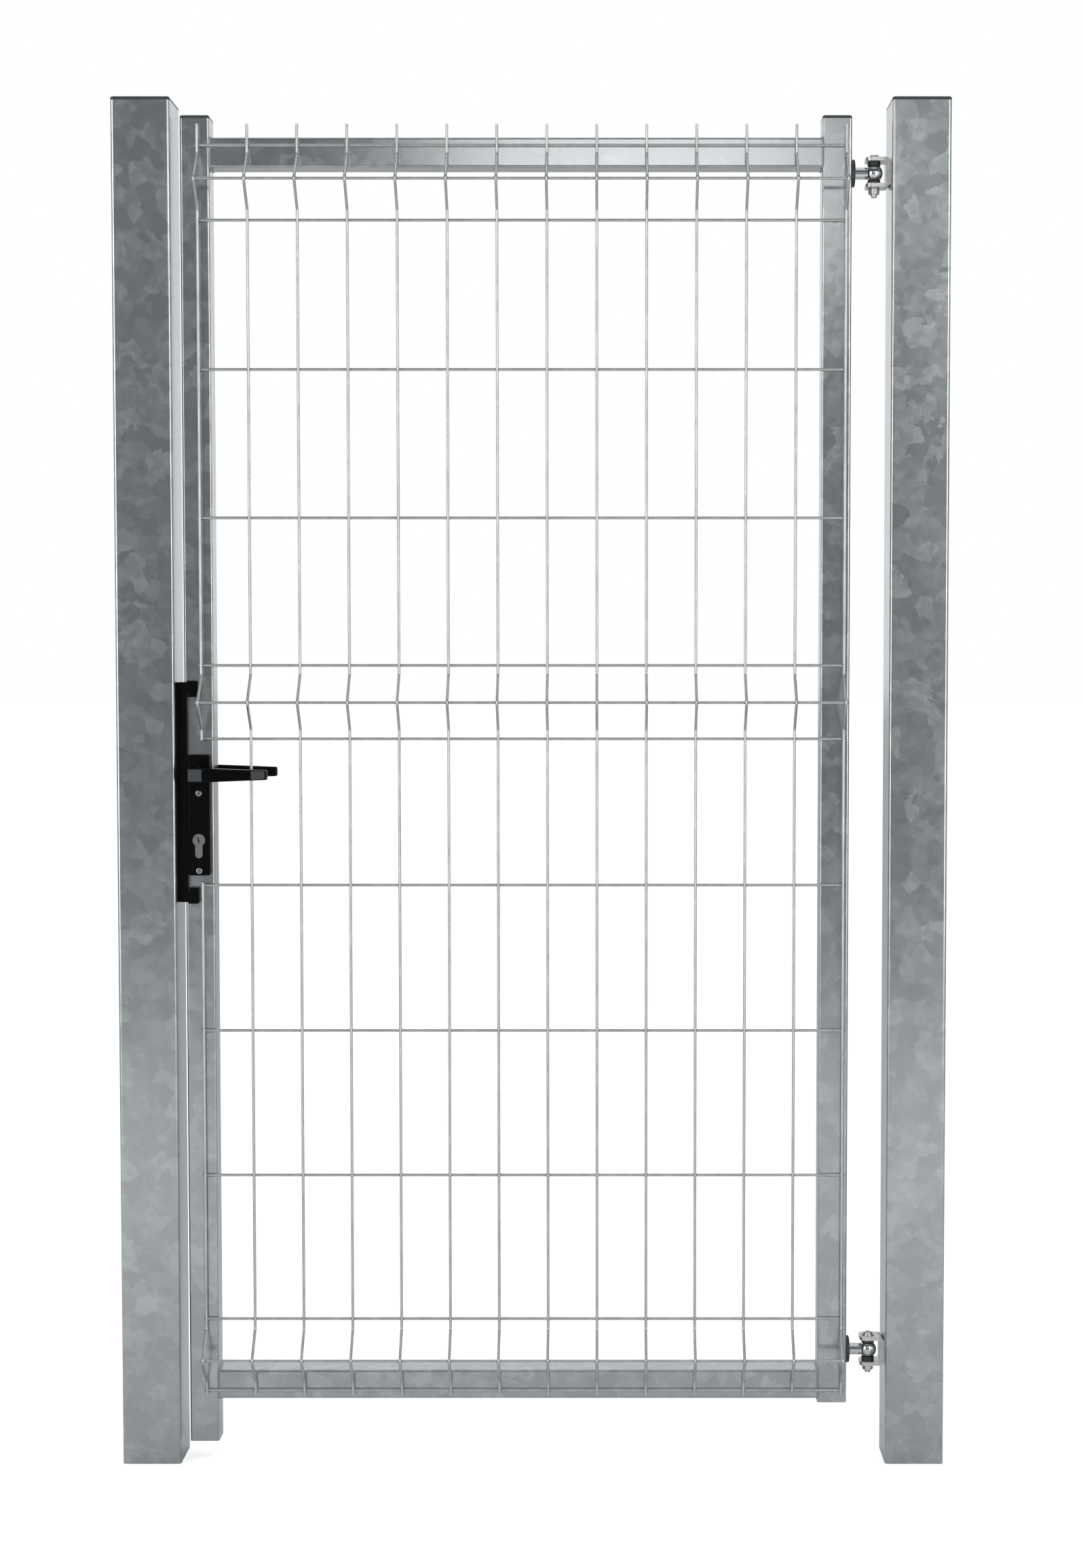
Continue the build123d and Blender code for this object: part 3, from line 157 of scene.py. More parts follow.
class Tree:
    """The node tree of a material or a world, built one node at a time."""

    def __init__(self, owner, shader="BSDF_PRINCIPLED"):
        owner.use_nodes = True
        self.owner = owner
        self.nodes = owner.node_tree.nodes
        self.links = owner.node_tree.links
        self.shader = next(node for node in self.nodes if node.type == shader)

    def add(self, kind, **values):
        """Adds a node. Values named after its sockets set or link them; the rest are its settings."""
        node = self.nodes.new("ShaderNode" + kind)
        for key, value in values.items():
            socket = node.inputs.get(key.replace("_", " ").title())
            if socket is None:
                setattr(node, key, value)
            elif isinstance(value, bpy.types.NodeSocket):
                self.links.new(value, socket)
            else:
                socket.default_value = value
        return node

    def maths(self, operation, first, second):
        node = self.nodes.new("ShaderNodeMath")
        node.operation = operation
        for socket, value in zip(node.inputs, (first, second)):
            if isinstance(value, bpy.types.NodeSocket):
                self.links.new(value, socket)
            else:
                socket.default_value = value
        return node.outputs[0]

    def place(self, shift=(0, 0, 0), scale=(1, 1, 1)):
        """Object coordinates, moved and stretched."""
        coordinates = self.add("TexCoord").outputs["Object"]
        return self.add("Mapping", Vector=coordinates, Location=shift, Scale=scale).outputs[0]

    def warp(self, vector, scale, amount):
        """Pushes coordinates about by a soft noise, so that what follows has no straight edges."""
        noise = self.add("TexNoise", Vector=vector, Scale=scale, Detail=2.0)
        middle = self.add("VectorMath", operation="SUBTRACT")
        self.links.new(noise.outputs["Color"], middle.inputs[0])
        middle.inputs[1].default_value = (0.5, 0.5, 0.5)
        push = self.add("VectorMath", operation="MULTIPLY_ADD")
        self.links.new(middle.outputs[0], push.inputs[0])
        push.inputs[1].default_value = (amount, amount, amount)
        self.links.new(vector, push.inputs[2])
        return push.outputs[0]

    def noise(self, vector, scale, detail=2.0):
        return self.add("TexNoise", Vector=vector, Scale=scale, Detail=detail).outputs["Fac"]

    def crystals(self, vector, scale):
        """One random value for each crystal of a zinc surface."""
        cells = self.add("TexVoronoi", Vector=vector, Scale=scale)
        return self.add("SeparateColor", Color=cells.outputs["Color"]).outputs[0]

    def ramp(self, value, *stops):
        node = self.add("ValToRGB", Fac=value)
        elements = node.color_ramp.elements
        while len(elements) < len(stops):
            elements.new(0.5)
        for element, (position, colour) in zip(elements, stops):
            element.position = position
            element.color = (*colour, 1)
        return node.outputs["Color"]

    def cloudy(self, value, colour, dark, light):
        """A colour that runs from a darker to a lighter tone of itself as the value grows."""
        return self.ramp(value, (0.3, tone(colour, dark)), (0.7, tone(colour, light)))

    def mix(self, *shares):
        """The sum of some values, each times its share."""
        total = None
        for value, share in shares:
            part = self.maths("MULTIPLY", value, share)
            total = part if total is None else self.maths("ADD", total, part)
        return total

    def spread(self, value, low, high, start=0.0, end=1.0):
        """Low where the value is at its start, high where it is at its end."""
        node = self.add("MapRange", Value=value, From_Min=start, From_Max=end, To_Min=low, To_Max=high)
        return node.outputs["Result"]

    def bump(self, height, strength, distance):
        node = self.add("Bump", Strength=strength, Distance=distance, Height=height)
        self.links.new(node.outputs["Normal"], self.shader.inputs["Normal"])

    def finish(self, colour, roughness=None, fixed=()):
        """Links the colour and the roughness, and sets the sockets that are the same all over."""
        self.links.new(colour, self.shader.inputs["Base Color"])
        if roughness is not None:
            self.links.new(roughness, self.shader.inputs["Roughness"])
        for socket, value in fixed:
            self.shader.inputs[socket].default_value = value
        return self.owner


def tone(colour, factor):
    return tuple(min(1.0, c * factor) for c in colour)


def material_tree(name):
    return Tree(bpy.data.materials.new(name))


def zinc_material(name, colour, crystal, contrast, rough, shift=(0, 0, 0)):
    """Hot-dip galvanised steel: broad crystal flakes with soft wavy edges, a few lighter than the rest."""
    tree = material_tree(name)
    here = tree.place(shift=shift)
    bent = tree.warp(here, scale=1.1 / crystal, amount=0.8 * crystal)
    wavy = tree.warp(bent, scale=4.0 / crystal, amount=0.4 * crystal)
    flakes = tree.crystals(wavy, scale=1.0 / crystal)
    ragged = tree.warp(here, scale=4.0 / crystal, amount=0.5 * crystal)
    shards = tree.crystals(ragged, scale=2.3 / crystal)
    drift = tree.noise(here, scale=5.0, detail=3.0)
    grain = tree.noise(here, scale=620.0)
    mix = tree.mix((flakes, 0.46), (shards, 0.24), (drift, 0.22), (grain, 0.08))
    base = tree.ramp(
        mix,
        (0.28, tone(colour, 1 - 0.6 * contrast)),
        (0.52, colour),
        (0.66, tone(colour, 1 + 0.5 * contrast)),
        (0.82, tone(colour, 1 + 1.3 * contrast)),
    )
    tree.bump(tree.mix((grain, 1.0), (shards, 0.3)), strength=0.1, distance=METAL_RELIEF)
    return tree.finish(base, tree.spread(mix, rough - 0.03, rough + 0.04), [("Metallic", 0.94)])


def wire_material(name, colour, rough):
    """Galvanised drawn wire: faint bands where the zinc ran, over a fine grain."""
    tree = material_tree(name)
    bands = tree.noise(tree.place(scale=(1, 1, 0.6)), scale=60.0, detail=3.0)
    grain = tree.noise(tree.place(), scale=700.0)
    mix = tree.mix((bands, 0.7), (grain, 0.3))
    base = tree.cloudy(mix, colour, dark=0.82, light=1.14)
    tree.bump(grain, strength=0.15, distance=METAL_RELIEF)
    return tree.finish(base, tree.spread(mix, rough + 0.08, rough - 0.05), [("Metallic", 0.95)])


def plated_material(name, colour, rough, scale=260.0, contrast=0.1):
    """Plated or polished metal with slight handling marks."""
    tree = material_tree(name)
    marks = tree.noise(tree.place(), scale=scale, detail=4.0)
    base = tree.cloudy(marks, colour, dark=1 - contrast, light=1 + contrast)
    tree.bump(marks, strength=0.08, distance=METAL_RELIEF)
    return tree.finish(base, tree.spread(marks, rough * 1.25, rough * 0.8), [("Metallic", 1.0)])


def brushed_material(name, colour, rough):
    """Brushed steel: fine upright lines."""
    tree = material_tree(name)
    lines = tree.noise(tree.place(scale=(40, 40, 1)), scale=60.0, detail=4.0)
    base = tree.cloudy(lines, colour, dark=0.86, light=1.1)
    tree.bump(lines, strength=0.12, distance=METAL_RELIEF)
    return tree.finish(base, tree.spread(lines, rough * 1.2, rough * 0.8), [("Metallic", 1.0)])


def moulded_material(name, colour, rough):
    """Moulded plastic: a fine spark texture and slightly uneven gloss."""
    tree = material_tree(name)
    spark = tree.noise(tree.place(), scale=1400.0, detail=3.0)
    cloud = tree.noise(tree.place(), scale=30.0, detail=3.0)
    base = tree.cloudy(cloud, colour, dark=0.88, light=1.15)
    tree.bump(spark, strength=0.25, distance=MOULD_RELIEF)
    return tree.finish(base, tree.spread(cloud, rough + 0.06, rough - 0.05), [("Metallic", 0.0)])


def powder_coat(tree, rough, paint):
    """Orange peel under a satin top, on a tree. Paint makes the colour from the coat's soft clouds."""
    place = tree.place()
    peel = tree.noise(place, scale=520.0)
    cloud = tree.noise(place, scale=26.0, detail=3.0)
    tree.bump(peel, strength=0.2, distance=COAT_RELIEF)
    gloss = [("Metallic", 0.0), ("Specular IOR Level", 0.1)]
    return tree.finish(paint(cloud), tree.spread(cloud, rough + 0.05, rough - 0.04), gloss)


def coated_material(name, colour, rough):
    """Powder coat of one colour."""
    tree = material_tree(name)
    return powder_coat(tree, rough, lambda cloud: tree.cloudy(cloud, colour, dark=0.85, light=1.2))


def lever_material(name, colour, highlight_colour, rough, low, high):
    """Powder coat with a painted highlight, a grey patch for lamp light on the front face at the neck of
    the lever, and another near the end of its grip.
    """
    tree = material_tree(name)

    def paint(cloud):
        blend = tree.add("Mix", data_type="RGBA")
        tree.links.new(painted_lever_highlights(tree, low, high), blend.inputs["Factor"])
        tree.links.new(tree.cloudy(cloud, colour, dark=0.85, light=1.2), blend.inputs["A"])
        tree.links.new(tree.cloudy(cloud, highlight_colour, dark=0.92, light=1.08), blend.inputs["B"])
        return blend.outputs["Result"]

    return powder_coat(tree, rough, paint)


def painted_lever_highlights(tree, low, high):
    """One on the lever's two painted highlights, on its front faces at the neck and near the end, and
    nought on the rest of it.
    """
    place = tree.add("TexCoord")
    split = tree.add("SeparateXYZ", Vector=place.outputs["Object"])
    facing = tree.add("SeparateXYZ", Vector=place.outputs["Normal"])
    front = tree.maths("LESS_THAN", facing.outputs["Y"], HIGHLIGHT_FACING)
    neck = tree.maths("LESS_THAN", split.outputs["X"], low.x + NECK_HIGHLIGHT)
    margin = (high.z - low.z) * END_MARGIN
    end = tree.maths("GREATER_THAN", split.outputs["X"], high.x - END_HIGHLIGHT)
    for operation, axis, limit in (
        ("LESS_THAN", "X", high.x - margin),
        ("GREATER_THAN", "Z", low.z + margin),
        ("LESS_THAN", "Z", high.z - margin),
    ):
        end = tree.maths("MULTIPLY", end, tree.maths(operation, split.outputs[axis], limit))
    return tree.maths("MULTIPLY", front, tree.maths("MAXIMUM", neck, end))


def dress(names, material):
    for name in names:
        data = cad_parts[name].data
        data.materials.clear()
        data.materials.append(material)


def deselect():
    if bpy.context.object is not None and bpy.context.object.mode != "OBJECT":
        bpy.ops.object.mode_set(mode="OBJECT")
    bpy.ops.object.select_all(action="DESELECT")


def settle(piece, name, body, material):
    """Names a finished piece, puts its place into its mesh, and hangs it on its body."""
    deselect()
    piece.select_set(True)
    bpy.context.view_layer.objects.active = piece
    bpy.ops.object.transform_apply(location=True, rotation=True, scale=True)
    piece.name = name
    piece.data.name = name
    piece.data.materials.clear()
    piece.data.materials.append(material)
    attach(piece, body)
    return piece


def join(pieces):
    deselect()
    for piece in pieces:
        piece.select_set(True)
    bpy.context.view_layer.objects.active = pieces[0]
    bpy.ops.object.join()
    return pieces[0]


def copies(pattern, places):
    """A copy of a piece, each with its own mesh, at each place. The pattern itself goes to the first."""
    made = []
    for place in places[1:]:
        other = pattern.copy()
        other.data = pattern.data.copy()
        bpy.context.scene.collection.objects.link(other)
        other.location = place
        made.append(other)
    pattern.location = places[0]
    return [pattern, *made]


class GateFinishSettings(bpy.types.PropertyGroup):
    """Colours and grain of the gate's surfaces."""

    zinc: FloatVectorProperty(
        name="Zinc", description="Base colour of the galvanised tubes",
        subtype="COLOR", default=(0.42, 0.45, 0.47),
    )
    zinc_contrast: FloatProperty(
        name="Zinc contrast", description="How far the crystals differ from the base colour",
        default=0.15, min=0, max=1,
    )
    zinc_roughness: FloatProperty(
        name="Zinc roughness", description="Roughness of the galvanised tubes",
        default=0.2, min=0, max=1,
    )
    post_crystal: FloatProperty(
        name="Post crystals", description="Size of a zinc crystal on the posts",
        default=0.024, unit="LENGTH",
    )
    frame_crystal: FloatProperty(
        name="Frame crystals", description="Size of a zinc crystal on the leaf's frame",
        default=0.021, unit="LENGTH",
    )
    wire: FloatVectorProperty(
        name="Wire", description="Base colour of the mesh wires",
        subtype="COLOR", default=(0.53, 0.55, 0.555),
    )
    cap: FloatVectorProperty(
        name="Caps", description="Colour of the moulded tube caps",
        subtype="COLOR", default=(0.035, 0.045, 0.054),
    )
    coat: FloatVectorProperty(
        name="Coat", description="Colour of the coated lock furniture",
        subtype="COLOR", default=(0.001, 0.0012, 0.0014),
    )
    # Painted highlight: the grey that stands for lamp light on the lever's front faces, at its neck and
    # near its end.
    lever_highlight_colour: FloatVectorProperty(
        name="Lever face", description="Colour of the lever's satin faces",
        subtype="COLOR", default=(0.06, 0.066, 0.074),
    )


class GateWeldSettings(bpy.types.PropertyGroup):
    """Sizes of the welds."""

    spot: FloatProperty(
        name="Spot", description="Width of a resistance weld between two wires",
        default=0.0036, unit="LENGTH",
    )
    spot_swell: FloatProperty(
        name="Spot swell", description="How far a weld runs out along each wire",
        default=0.0011, unit="LENGTH",
    )
    tack_length: FloatProperty(
        name="Tack", description="Length of a tack weld between a cross wire and a stile",
        default=0.009, unit="LENGTH",
    )
    bead: FloatProperty(
        name="Bead", description="Thickness of the bead round a rail's end",
        default=0.0026, unit="LENGTH",
    )
    ripple: FloatProperty(
        name="Ripple", description="Distance between two ripples of the bead",
        default=0.0014, unit="LENGTH",
    )
    bead_sides: IntProperty(
        name="Bead sides", description="Fineness of the bead's round section", default=3, min=1
    )


class GateStageSettings(bpy.types.PropertyGroup):
    """Camera and floor."""

    lens: FloatProperty(name="Lens", description="Focal length in millimetres", default=59.84)
    aside: FloatProperty(
        name="Aside", description="Camera's place right of the middle", default=0.0987, unit="LENGTH"
    )
    away: FloatProperty(
        name="Away", description="Camera's distance from the posts", default=3.5336, unit="LENGTH"
    )
    eye: FloatProperty(
        name="Eye", description="Camera's height above the ground", default=1.1203, unit="LENGTH"
    )
    tilt: FloatProperty(
        name="Tilt", description="How far the camera looks down",
        default=radians(3.024), unit="ROTATION",
    )
    shift_x: FloatProperty(name="Shift X", description="Sideways lens shift", default=-0.0403)
    shift_y: FloatProperty(name="Shift Y", description="Upward lens shift", default=0.0017)
    floor: FloatProperty(
        name="Floor", description="Length of a side of the floor", default=60.0, unit="LENGTH"
    )
    floor_front: FloatProperty(
        name="Floor front", description="How far the floor reaches in front of the gate",
        default=7.5, unit="LENGTH",
    )
    floor_lift: FloatProperty(
        name="Floor lift", description="Light added to the floor where it is seen", default=0.6
    )


class GATE_OT_tubes(bpy.types.Operator):
    """Galvanises the posts, stiles and rails"""

    bl_idname = "gate.tubes"
    bl_label = "Galvanise the tubes"

    def execute(self, context):
        look = context.scene.gate_finish
        for index, name in enumerate(TUBES):
            crystal = look.post_crystal if name.endswith("post") else look.frame_crystal
            material = zinc_material(
                "galvanised_" + name, look.zinc, crystal, look.zinc_contrast, look.zinc_roughness,
                shift=[index * step for step in TUBE_SHIFT],
            )
            dress([name], material)
        return {"FINISHED"}


class GATE_OT_caps(bpy.types.Operator):
    """Gives the tube caps their moulded finish"""

    bl_idname = "gate.caps"
    bl_label = "Finish the caps"

    def execute(self, context):
        dress(CAPS, moulded_material("slate_plastic", context.scene.gate_finish.cap, rough=0.42))
        return {"FINISHED"}


class GATE_OT_wires(bpy.types.Operator):
    """Galvanises the mesh wires"""

    bl_idname = "gate.wires"
    bl_label = "Galvanise the wires"

    def execute(self, context):
        look = context.scene.gate_finish
        material = wire_material("galvanised_wire", look.wire, rough=0.3)
        dress(["mesh_upright_wires", "mesh_cross_wires"], material)
        return {"FINISHED"}


def wire_places():
    """Where each upright crosses each cross wire: the point where the two touch."""
    low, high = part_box("mesh_upright_wires")
    rows_low, rows_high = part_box("mesh_cross_wires")
    first = low.x + WIRE / 2
    pitch = (high.x - low.x - WIRE) / (UPRIGHTS - 1)
    top = rows_high.z - WIRE / 2
    plane = rows_high.y - WIRE
    forward = rows_low.y
    places = []
    for row, drop in enumerate(CROSS_DROPS):
        depth = forward if row in FOLDED_ROWS else plane
        for index in range(UPRIGHTS):
            places.append(Vector((first + pitch * index, depth, top - drop)))
    return places


class GATE_OT_wire_welds(bpy.types.Operator):
    """Models the resistance welds where the wires cross, and the tacks that hold the mesh to the stiles"""

    bl_idname = "gate.wire_welds"
    bl_label = "Weld the mesh"

    def execute(self, context):
        look = context.scene.gate_weld
        zinc = wire_material("galvanised_weld", tone(context.scene.gate_finish.wire, 0.9), rough=0.36)
        deselect()
        bpy.ops.mesh.primitive_cube_add(size=look.spot)
        spot = bpy.context.object
        bpy.ops.object.mode_set(mode="EDIT")
        mesh = bmesh.from_edit_mesh(spot.data)
        for face in mesh.faces:
            faces_along_a_wire = abs(face.normal.y) < 0.5
            face.select_set(faces_along_a_wire)
        bmesh.update_edit_mesh(spot.data)
        bpy.ops.mesh.inset(
            thickness=look.spot * SPOT_TAPER, depth=look.spot_swell, use_individual=True
        )
        bpy.ops.object.mode_set(mode="OBJECT")
        bpy.ops.object.shade_smooth()
        welds = join(copies(spot, wire_places()))
        settle(welds, "mesh_weld_spots", "leaf", zinc)
        settle(self.tacks(look), "mesh_stile_tacks", "leaf", zinc)
        return {"FINISHED"}

    def tacks(self, look):
        mesh_low, mesh_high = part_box("mesh_upright_wires")
        latch_side = (mesh_low.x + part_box("latch_stile")[1].x) / 2
        hinge_side = (mesh_high.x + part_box("hinge_stile")[0].x) / 2
        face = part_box("latch_stile")[0].y - TACK_SINK
        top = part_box("mesh_cross_wires")[1].z - WIRE / 2 - WIRE * TACK_DROP
        flat_rows = [drop for row, drop in enumerate(CROSS_DROPS) if row not in FOLDED_ROWS]
        places = [Vector((x, face, top - drop)) for x in (latch_side, hinge_side) for drop in flat_rows]
        deselect()
        bpy.ops.mesh.primitive_cylinder_add(
            vertices=TACK_FACES, radius=TACK_RADIUS, depth=look.tack_length, rotation=(0, pi / 2, 0)
        )
        tack = bpy.context.object
        bpy.ops.object.transform_apply(location=False, rotation=True, scale=True)
        bpy.ops.object.mode_set(mode="EDIT")
        bpy.ops.mesh.select_all(action="SELECT")
        bpy.ops.mesh.bevel(offset=TACK_EDGE, segments=1, affect="EDGES")
        bpy.ops.object.mode_set(mode="OBJECT")
        bpy.ops.object.shade_smooth()
        return join(copies(tack, places))


class GATE_OT_rail_welds(bpy.types.Operator):
    """Models the rippled bead round each end of both rails"""

    bl_idname = "gate.rail_welds"
    bl_label = "Weld the rails"

    def execute(self, context):
        look = context.scene.gate_weld
        zinc = wire_material("galvanised_bead", tone(context.scene.gate_finish.zinc, 0.85), rough=0.42)
        beads = []
        for rail in ("top_rail", "bottom_rail"):
            low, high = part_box(rail)
            for x in (low.x, high.x):
                beads.append(self.bead(x, low, high, look))
        settle(join(beads), "rail_weld_beads", "leaf", zinc)
        return {"FINISHED"}

    def bead(self, x, low, high, look):
        deselect()
        width, height = high.y - low.y, high.z - low.z
        bpy.ops.mesh.primitive_plane_add(size=1, rotation=(0, pi / 2, 0))
        ring = bpy.context.object
        ring.scale = (height, width, 1)
        ring.location = (x, (low.y + high.y) / 2, (low.z + high.z) / 2)
        bpy.ops.object.transform_apply(location=True, rotation=True, scale=True)
        bpy.ops.object.mode_set(mode="EDIT")
        bpy.ops.mesh.select_all(action="SELECT")
        bpy.ops.mesh.bevel(offset=BEAD_CORNER, segments=BEAD_CORNER_STEPS, affect="VERTICES")
        bpy.ops.mesh.select_all(action="SELECT")
        bpy.ops.mesh.delete(type="ONLY_FACE")
        bpy.ops.mesh.select_all(action="SELECT")
        mesh = bmesh.from_edit_mesh(ring.data)
        sides = [edge for edge in mesh.edges if edge.calc_length() > BEAD_SIDE]
        bpy.ops.mesh.select_all(action="DESELECT")
        for edge in sides:
            edge.select_set(True)
        bmesh.update_edit_mesh(ring.data)
        bpy.ops.mesh.subdivide(number_cuts=round(width / look.ripple))
        bpy.ops.object.mode_set(mode="OBJECT")
        bpy.ops.object.convert(target="CURVE")
        curve = bpy.context.object
        for spline in curve.data.splines:
            for index, point in enumerate(spline.points):
                wander = BEAD_WANDER * sin(BEAD_WANDER_STEP * index)
                point.radius = 1.0 + BEAD_SWELL * (index % 2) + wander
        curve.data.bevel_depth = look.bead / 2
        curve.data.bevel_resolution = look.bead_sides
        bpy.ops.object.convert(target="MESH")
        bead = bpy.context.object
        bpy.ops.object.shade_smooth()
        return bead


class GATE_OT_hinges(bpy.types.Operator):
    """Finishes the hinge brackets, pins, nuts, eye bolts and washers"""

    bl_idname = "gate.hinges"
    bl_label = "Finish the hinges"

    def execute(self, context):
        cast = zinc_material("cast_zinc", (0.62, 0.63, 0.63), crystal=0.007, contrast=0.12, rough=0.36)
        polished = plated_material(
            "polished_steel", (0.60, 0.62, 0.64), rough=0.1, scale=90.0, contrast=0.05
        )
        dress(BRACKETS, cast)
        dress(FASTENERS, plated_material("zinc_plate", (0.62, 0.62, 0.60), rough=0.3))
        dress(EYES, polished)
        dress(HINGE_PLASTIC, moulded_material("black_nylon", (0.026, 0.031, 0.035), rough=0.45))
        return {"FINISHED"}


class GATE_OT_lock(bpy.types.Operator):
    """Finishes the lock's plates, levers, keep, cylinder and inner works"""

    bl_idname = "gate.lock"
    bl_label = "Finish the lock"

    def execute(self, context):
        look = context.scene.gate_finish
        low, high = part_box("front_lever")
        # The front lever is black, with grey painted highlights on its front faces at the neck and near
        # the end of its grip.
        lever = lever_material("black_lever_painted_highlights", look.coat, look.lever_highlight_colour, COAT_ROUGHNESS, low, high)
        dress(["front_lever"], lever)
        dress(COATED, coated_material("black_powder_coat", look.coat, COAT_ROUGHNESS))
        dress(BRIGHT_SCREWS, plated_material("bright_screw", (0.5, 0.5, 0.5), rough=0.14))
        dress(STAINLESS, brushed_material("brushed_stainless", (0.55, 0.55, 0.54), rough=0.3))
        dress(LOCK_WORKS, plated_material("yellow_zinc", (0.5, 0.48, 0.42), rough=0.35, scale=120.0))
        dress(LOCK_PLASTIC, moulded_material("bush_nylon", (0.02, 0.02, 0.022), rough=0.5))
        dress(NICKEL, plated_material("satin_nickel", (0.2, 0.21, 0.22), rough=0.42, scale=300.0))
        return {"FINISHED"}


class GATE_OT_spring(bpy.types.Operator):
    """Winds the latch's return spring as a fixed coil, in place of the model's plain one"""

    bl_idname = "gate.spring"
    bl_label = "Wind the latch spring"

    def execute(self, context):
        low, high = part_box("latch_spring")
        middle = (low + high) / 2
        deselect()
        bpy.ops.mesh.primitive_circle_add(
            vertices=SPRING_FACES, radius=SPRING_WIRE / 2, rotation=(pi / 2, 0, 0),
            location=(low.x + SPRING_WIRE / 2, middle.y, middle.z),
        )
        spring = bpy.context.object
        radius = (high.z - low.z - SPRING_WIRE) / 2
        bpy.ops.object.transform_apply(location=False, rotation=True, scale=True)
        bpy.ops.object.mode_set(mode="EDIT")
        bpy.ops.mesh.select_all(action="SELECT")
        bpy.ops.transform.translate(value=(0, 0, radius))
        bpy.ops.object.mode_set(mode="OBJECT")
        coil = spring.modifiers.new("coil", "SCREW")
        coil.axis = "X"
        coil.angle = SPRING_TURNS * 2 * pi
        coil.screw_offset = high.x - low.x - SPRING_WIRE
        coil.steps = coil.render_steps = SPRING_TURNS * SPRING_STEPS
        bpy.ops.object.modifier_apply(modifier="coil")
        bpy.ops.object.mode_set(mode="EDIT")
        bpy.ops.mesh.select_all(action="SELECT")
        bpy.ops.mesh.fill_holes(sides=SPRING_FACES)
        bpy.ops.mesh.select_all(action="SELECT")
        bpy.ops.mesh.normals_make_consistent(inside=False)
        bpy.ops.object.mode_set(mode="OBJECT")
        bpy.ops.object.shade_smooth()
        settle(spring, "latch_return_spring", "leaf", bpy.data.materials["yellow_zinc"])
        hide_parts("latch_spring")
        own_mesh(spring)
        return {"FINISHED"}


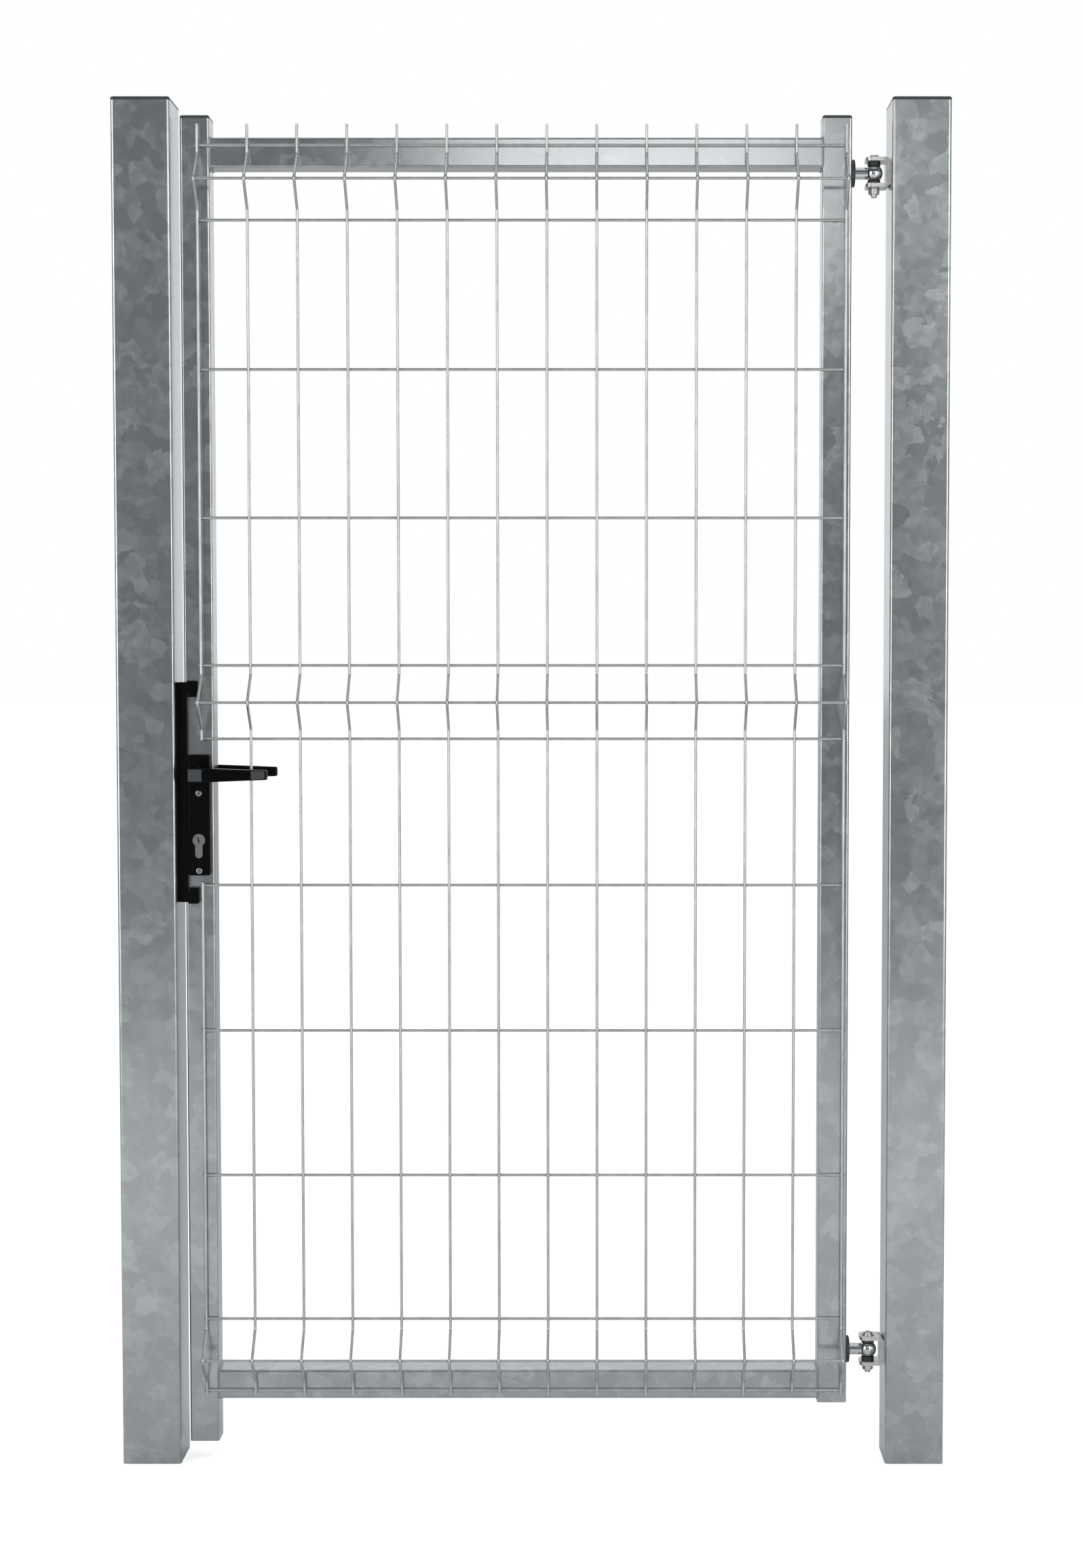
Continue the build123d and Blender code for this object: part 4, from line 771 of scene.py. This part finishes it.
class GATE_OT_stage(bpy.types.Operator):
    """Lays the floor, and sets the lights and the camera"""

    bl_idname = "gate.stage"
    bl_label = "Set the stage"

    def execute(self, context):
        look = context.scene.gate_stage
        self.floor(look)
        self.world(context.scene)
        for name, (place, size, power, colour) in SOFTBOXES.items():
            self.softbox(name, place, size, power, colour)
        self.overhead_light()
        self.camera(context.scene, look)
        context.scene.view_settings.view_transform = "Standard"
        return {"FINISHED"}

    def floor(self, look):
        deselect()
        middle = (0, look.floor / 2 - look.floor_front, 0)
        bpy.ops.mesh.primitive_plane_add(size=look.floor, location=middle)
        floor = bpy.context.object
        bpy.ops.object.transform_apply(location=True, rotation=True, scale=True)
        floor.name = "studio_floor"
        tree = material_tree("pale_floor")
        cloud = tree.noise(tree.place(), scale=1.5)
        base = tree.ramp(cloud, (0.2, (0.85, 0.85, 0.85)), (0.8, (0.88, 0.88, 0.88)))
        seen = tree.add("LightPath").outputs["Is Camera Ray"]
        lift = tree.maths("MULTIPLY", seen, look.floor_lift)
        tree.links.new(lift, tree.shader.inputs["Emission Strength"])
        fixed = [("Roughness", 0.9), ("Emission Color", (1, 1, 1, 1))]
        floor.data.materials.append(tree.finish(base, fixed=fixed))

    def world(self, scene):
        """White where it is seen, and of uneven brightness for everything that it lights."""
        scene.world = bpy.data.worlds.new("pale_studio")
        tree = Tree(scene.world, "BACKGROUND")
        direction = tree.add("TexCoord").outputs["Generated"]
        split = tree.add("SeparateXYZ", Vector=direction)
        depth = tree.spread(split.outputs["Y"], **FRONT_TO_BACK)
        height = tree.spread(split.outputs["Z"], **LEVEL_TO_TOP)
        choose = tree.add("Mix")
        tree.links.new(tree.add("LightPath").outputs["Is Camera Ray"], choose.inputs["Factor"])
        tree.links.new(tree.maths("MULTIPLY", depth, height), choose.inputs["A"])
        choose.inputs["B"].default_value = 1.0
        tree.links.new(choose.outputs["Result"], tree.shader.inputs["Strength"])
        tree.shader.inputs["Color"].default_value = (1, 1, 1, 1)

    def softbox(self, name, place, size, power, colour):
        deselect()
        bpy.ops.object.light_add(type="AREA", location=place)
        lamp = bpy.context.object
        lamp.name = name
        lamp.data.shape = "RECTANGLE"
        lamp.data.size, lamp.data.size_y = size
        lamp.data.energy = power
        lamp.data.color = colour
        lamp.visible_camera = False
        aim = Vector((0, 0, place[2] * AIM_HEIGHT)) - Vector(place)
        lamp.rotation_euler = aim.to_track_quat("-Z", "Y").to_euler()

    def overhead_light(self):
        deselect()
        bpy.ops.object.light_add(type="SUN", location=(0, 0, 6))
        lamp = bpy.context.object
        lamp.name = "overhead_light"
        lamp.data.energy = OVERHEAD_STRENGTH
        lamp.data.angle = radians(OVERHEAD_SPREAD)

    def camera(self, scene, look):
        deselect()
        place = (look.aside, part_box("latch_post")[0].y - look.away, look.eye)
        bpy.ops.object.camera_add(location=place, rotation=(pi / 2 - look.tilt, 0, 0))
        camera = bpy.context.object
        camera.name = "camera"
        camera.data.lens = look.lens
        camera.data.sensor_width = SENSOR_WIDTH
        camera.data.shift_x = look.shift_x
        camera.data.shift_y = look.shift_y
        scene.camera = camera


class GATE_PT_panel(bpy.types.Panel):
    """The gate's operators and settings"""

    bl_idname = "GATE_PT_panel"
    bl_label = "Garden gate"
    bl_space_type = "VIEW_3D"
    bl_region_type = "UI"
    bl_category = "Gate"

    def draw(self, context):
        for operator in OPERATORS:
            self.layout.operator(operator.bl_idname)
        for group in SETTINGS:
            box = self.layout.box()
            for name in SETTINGS[group].__annotations__:
                box.prop(getattr(context.scene, group), name)


SETTINGS = {
    "gate_finish": GateFinishSettings,
    "gate_weld": GateWeldSettings,
    "gate_stage": GateStageSettings,
}
OPERATORS = (
    GATE_OT_tubes, GATE_OT_caps, GATE_OT_wires, GATE_OT_wire_welds,
    GATE_OT_rail_welds, GATE_OT_hinges, GATE_OT_lock, GATE_OT_spring, GATE_OT_stage,
)


def register():
    for group in SETTINGS.values():
        bpy.utils.register_class(group)
    for operator in OPERATORS:
        bpy.utils.register_class(operator)
    bpy.utils.register_class(GATE_PT_panel)
    for name, group in SETTINGS.items():
        setattr(bpy.types.Scene, name, PointerProperty(type=group))


def unregister():
    for name in SETTINGS:
        delattr(bpy.types.Scene, name)
    bpy.utils.unregister_class(GATE_PT_panel)
    for operator in reversed(OPERATORS):
        bpy.utils.unregister_class(operator)
    for group in SETTINGS.values():
        bpy.utils.unregister_class(group)


def main():
    register()
    bpy.ops.gate.tubes()
    bpy.ops.gate.caps()
    bpy.ops.gate.wires()
    bpy.ops.gate.wire_welds()
    bpy.ops.gate.rail_welds()
    bpy.ops.gate.hinges()
    bpy.ops.gate.lock()
    bpy.ops.gate.spring()
    bpy.ops.gate.stage()


if __name__ == "__main__":
    main()
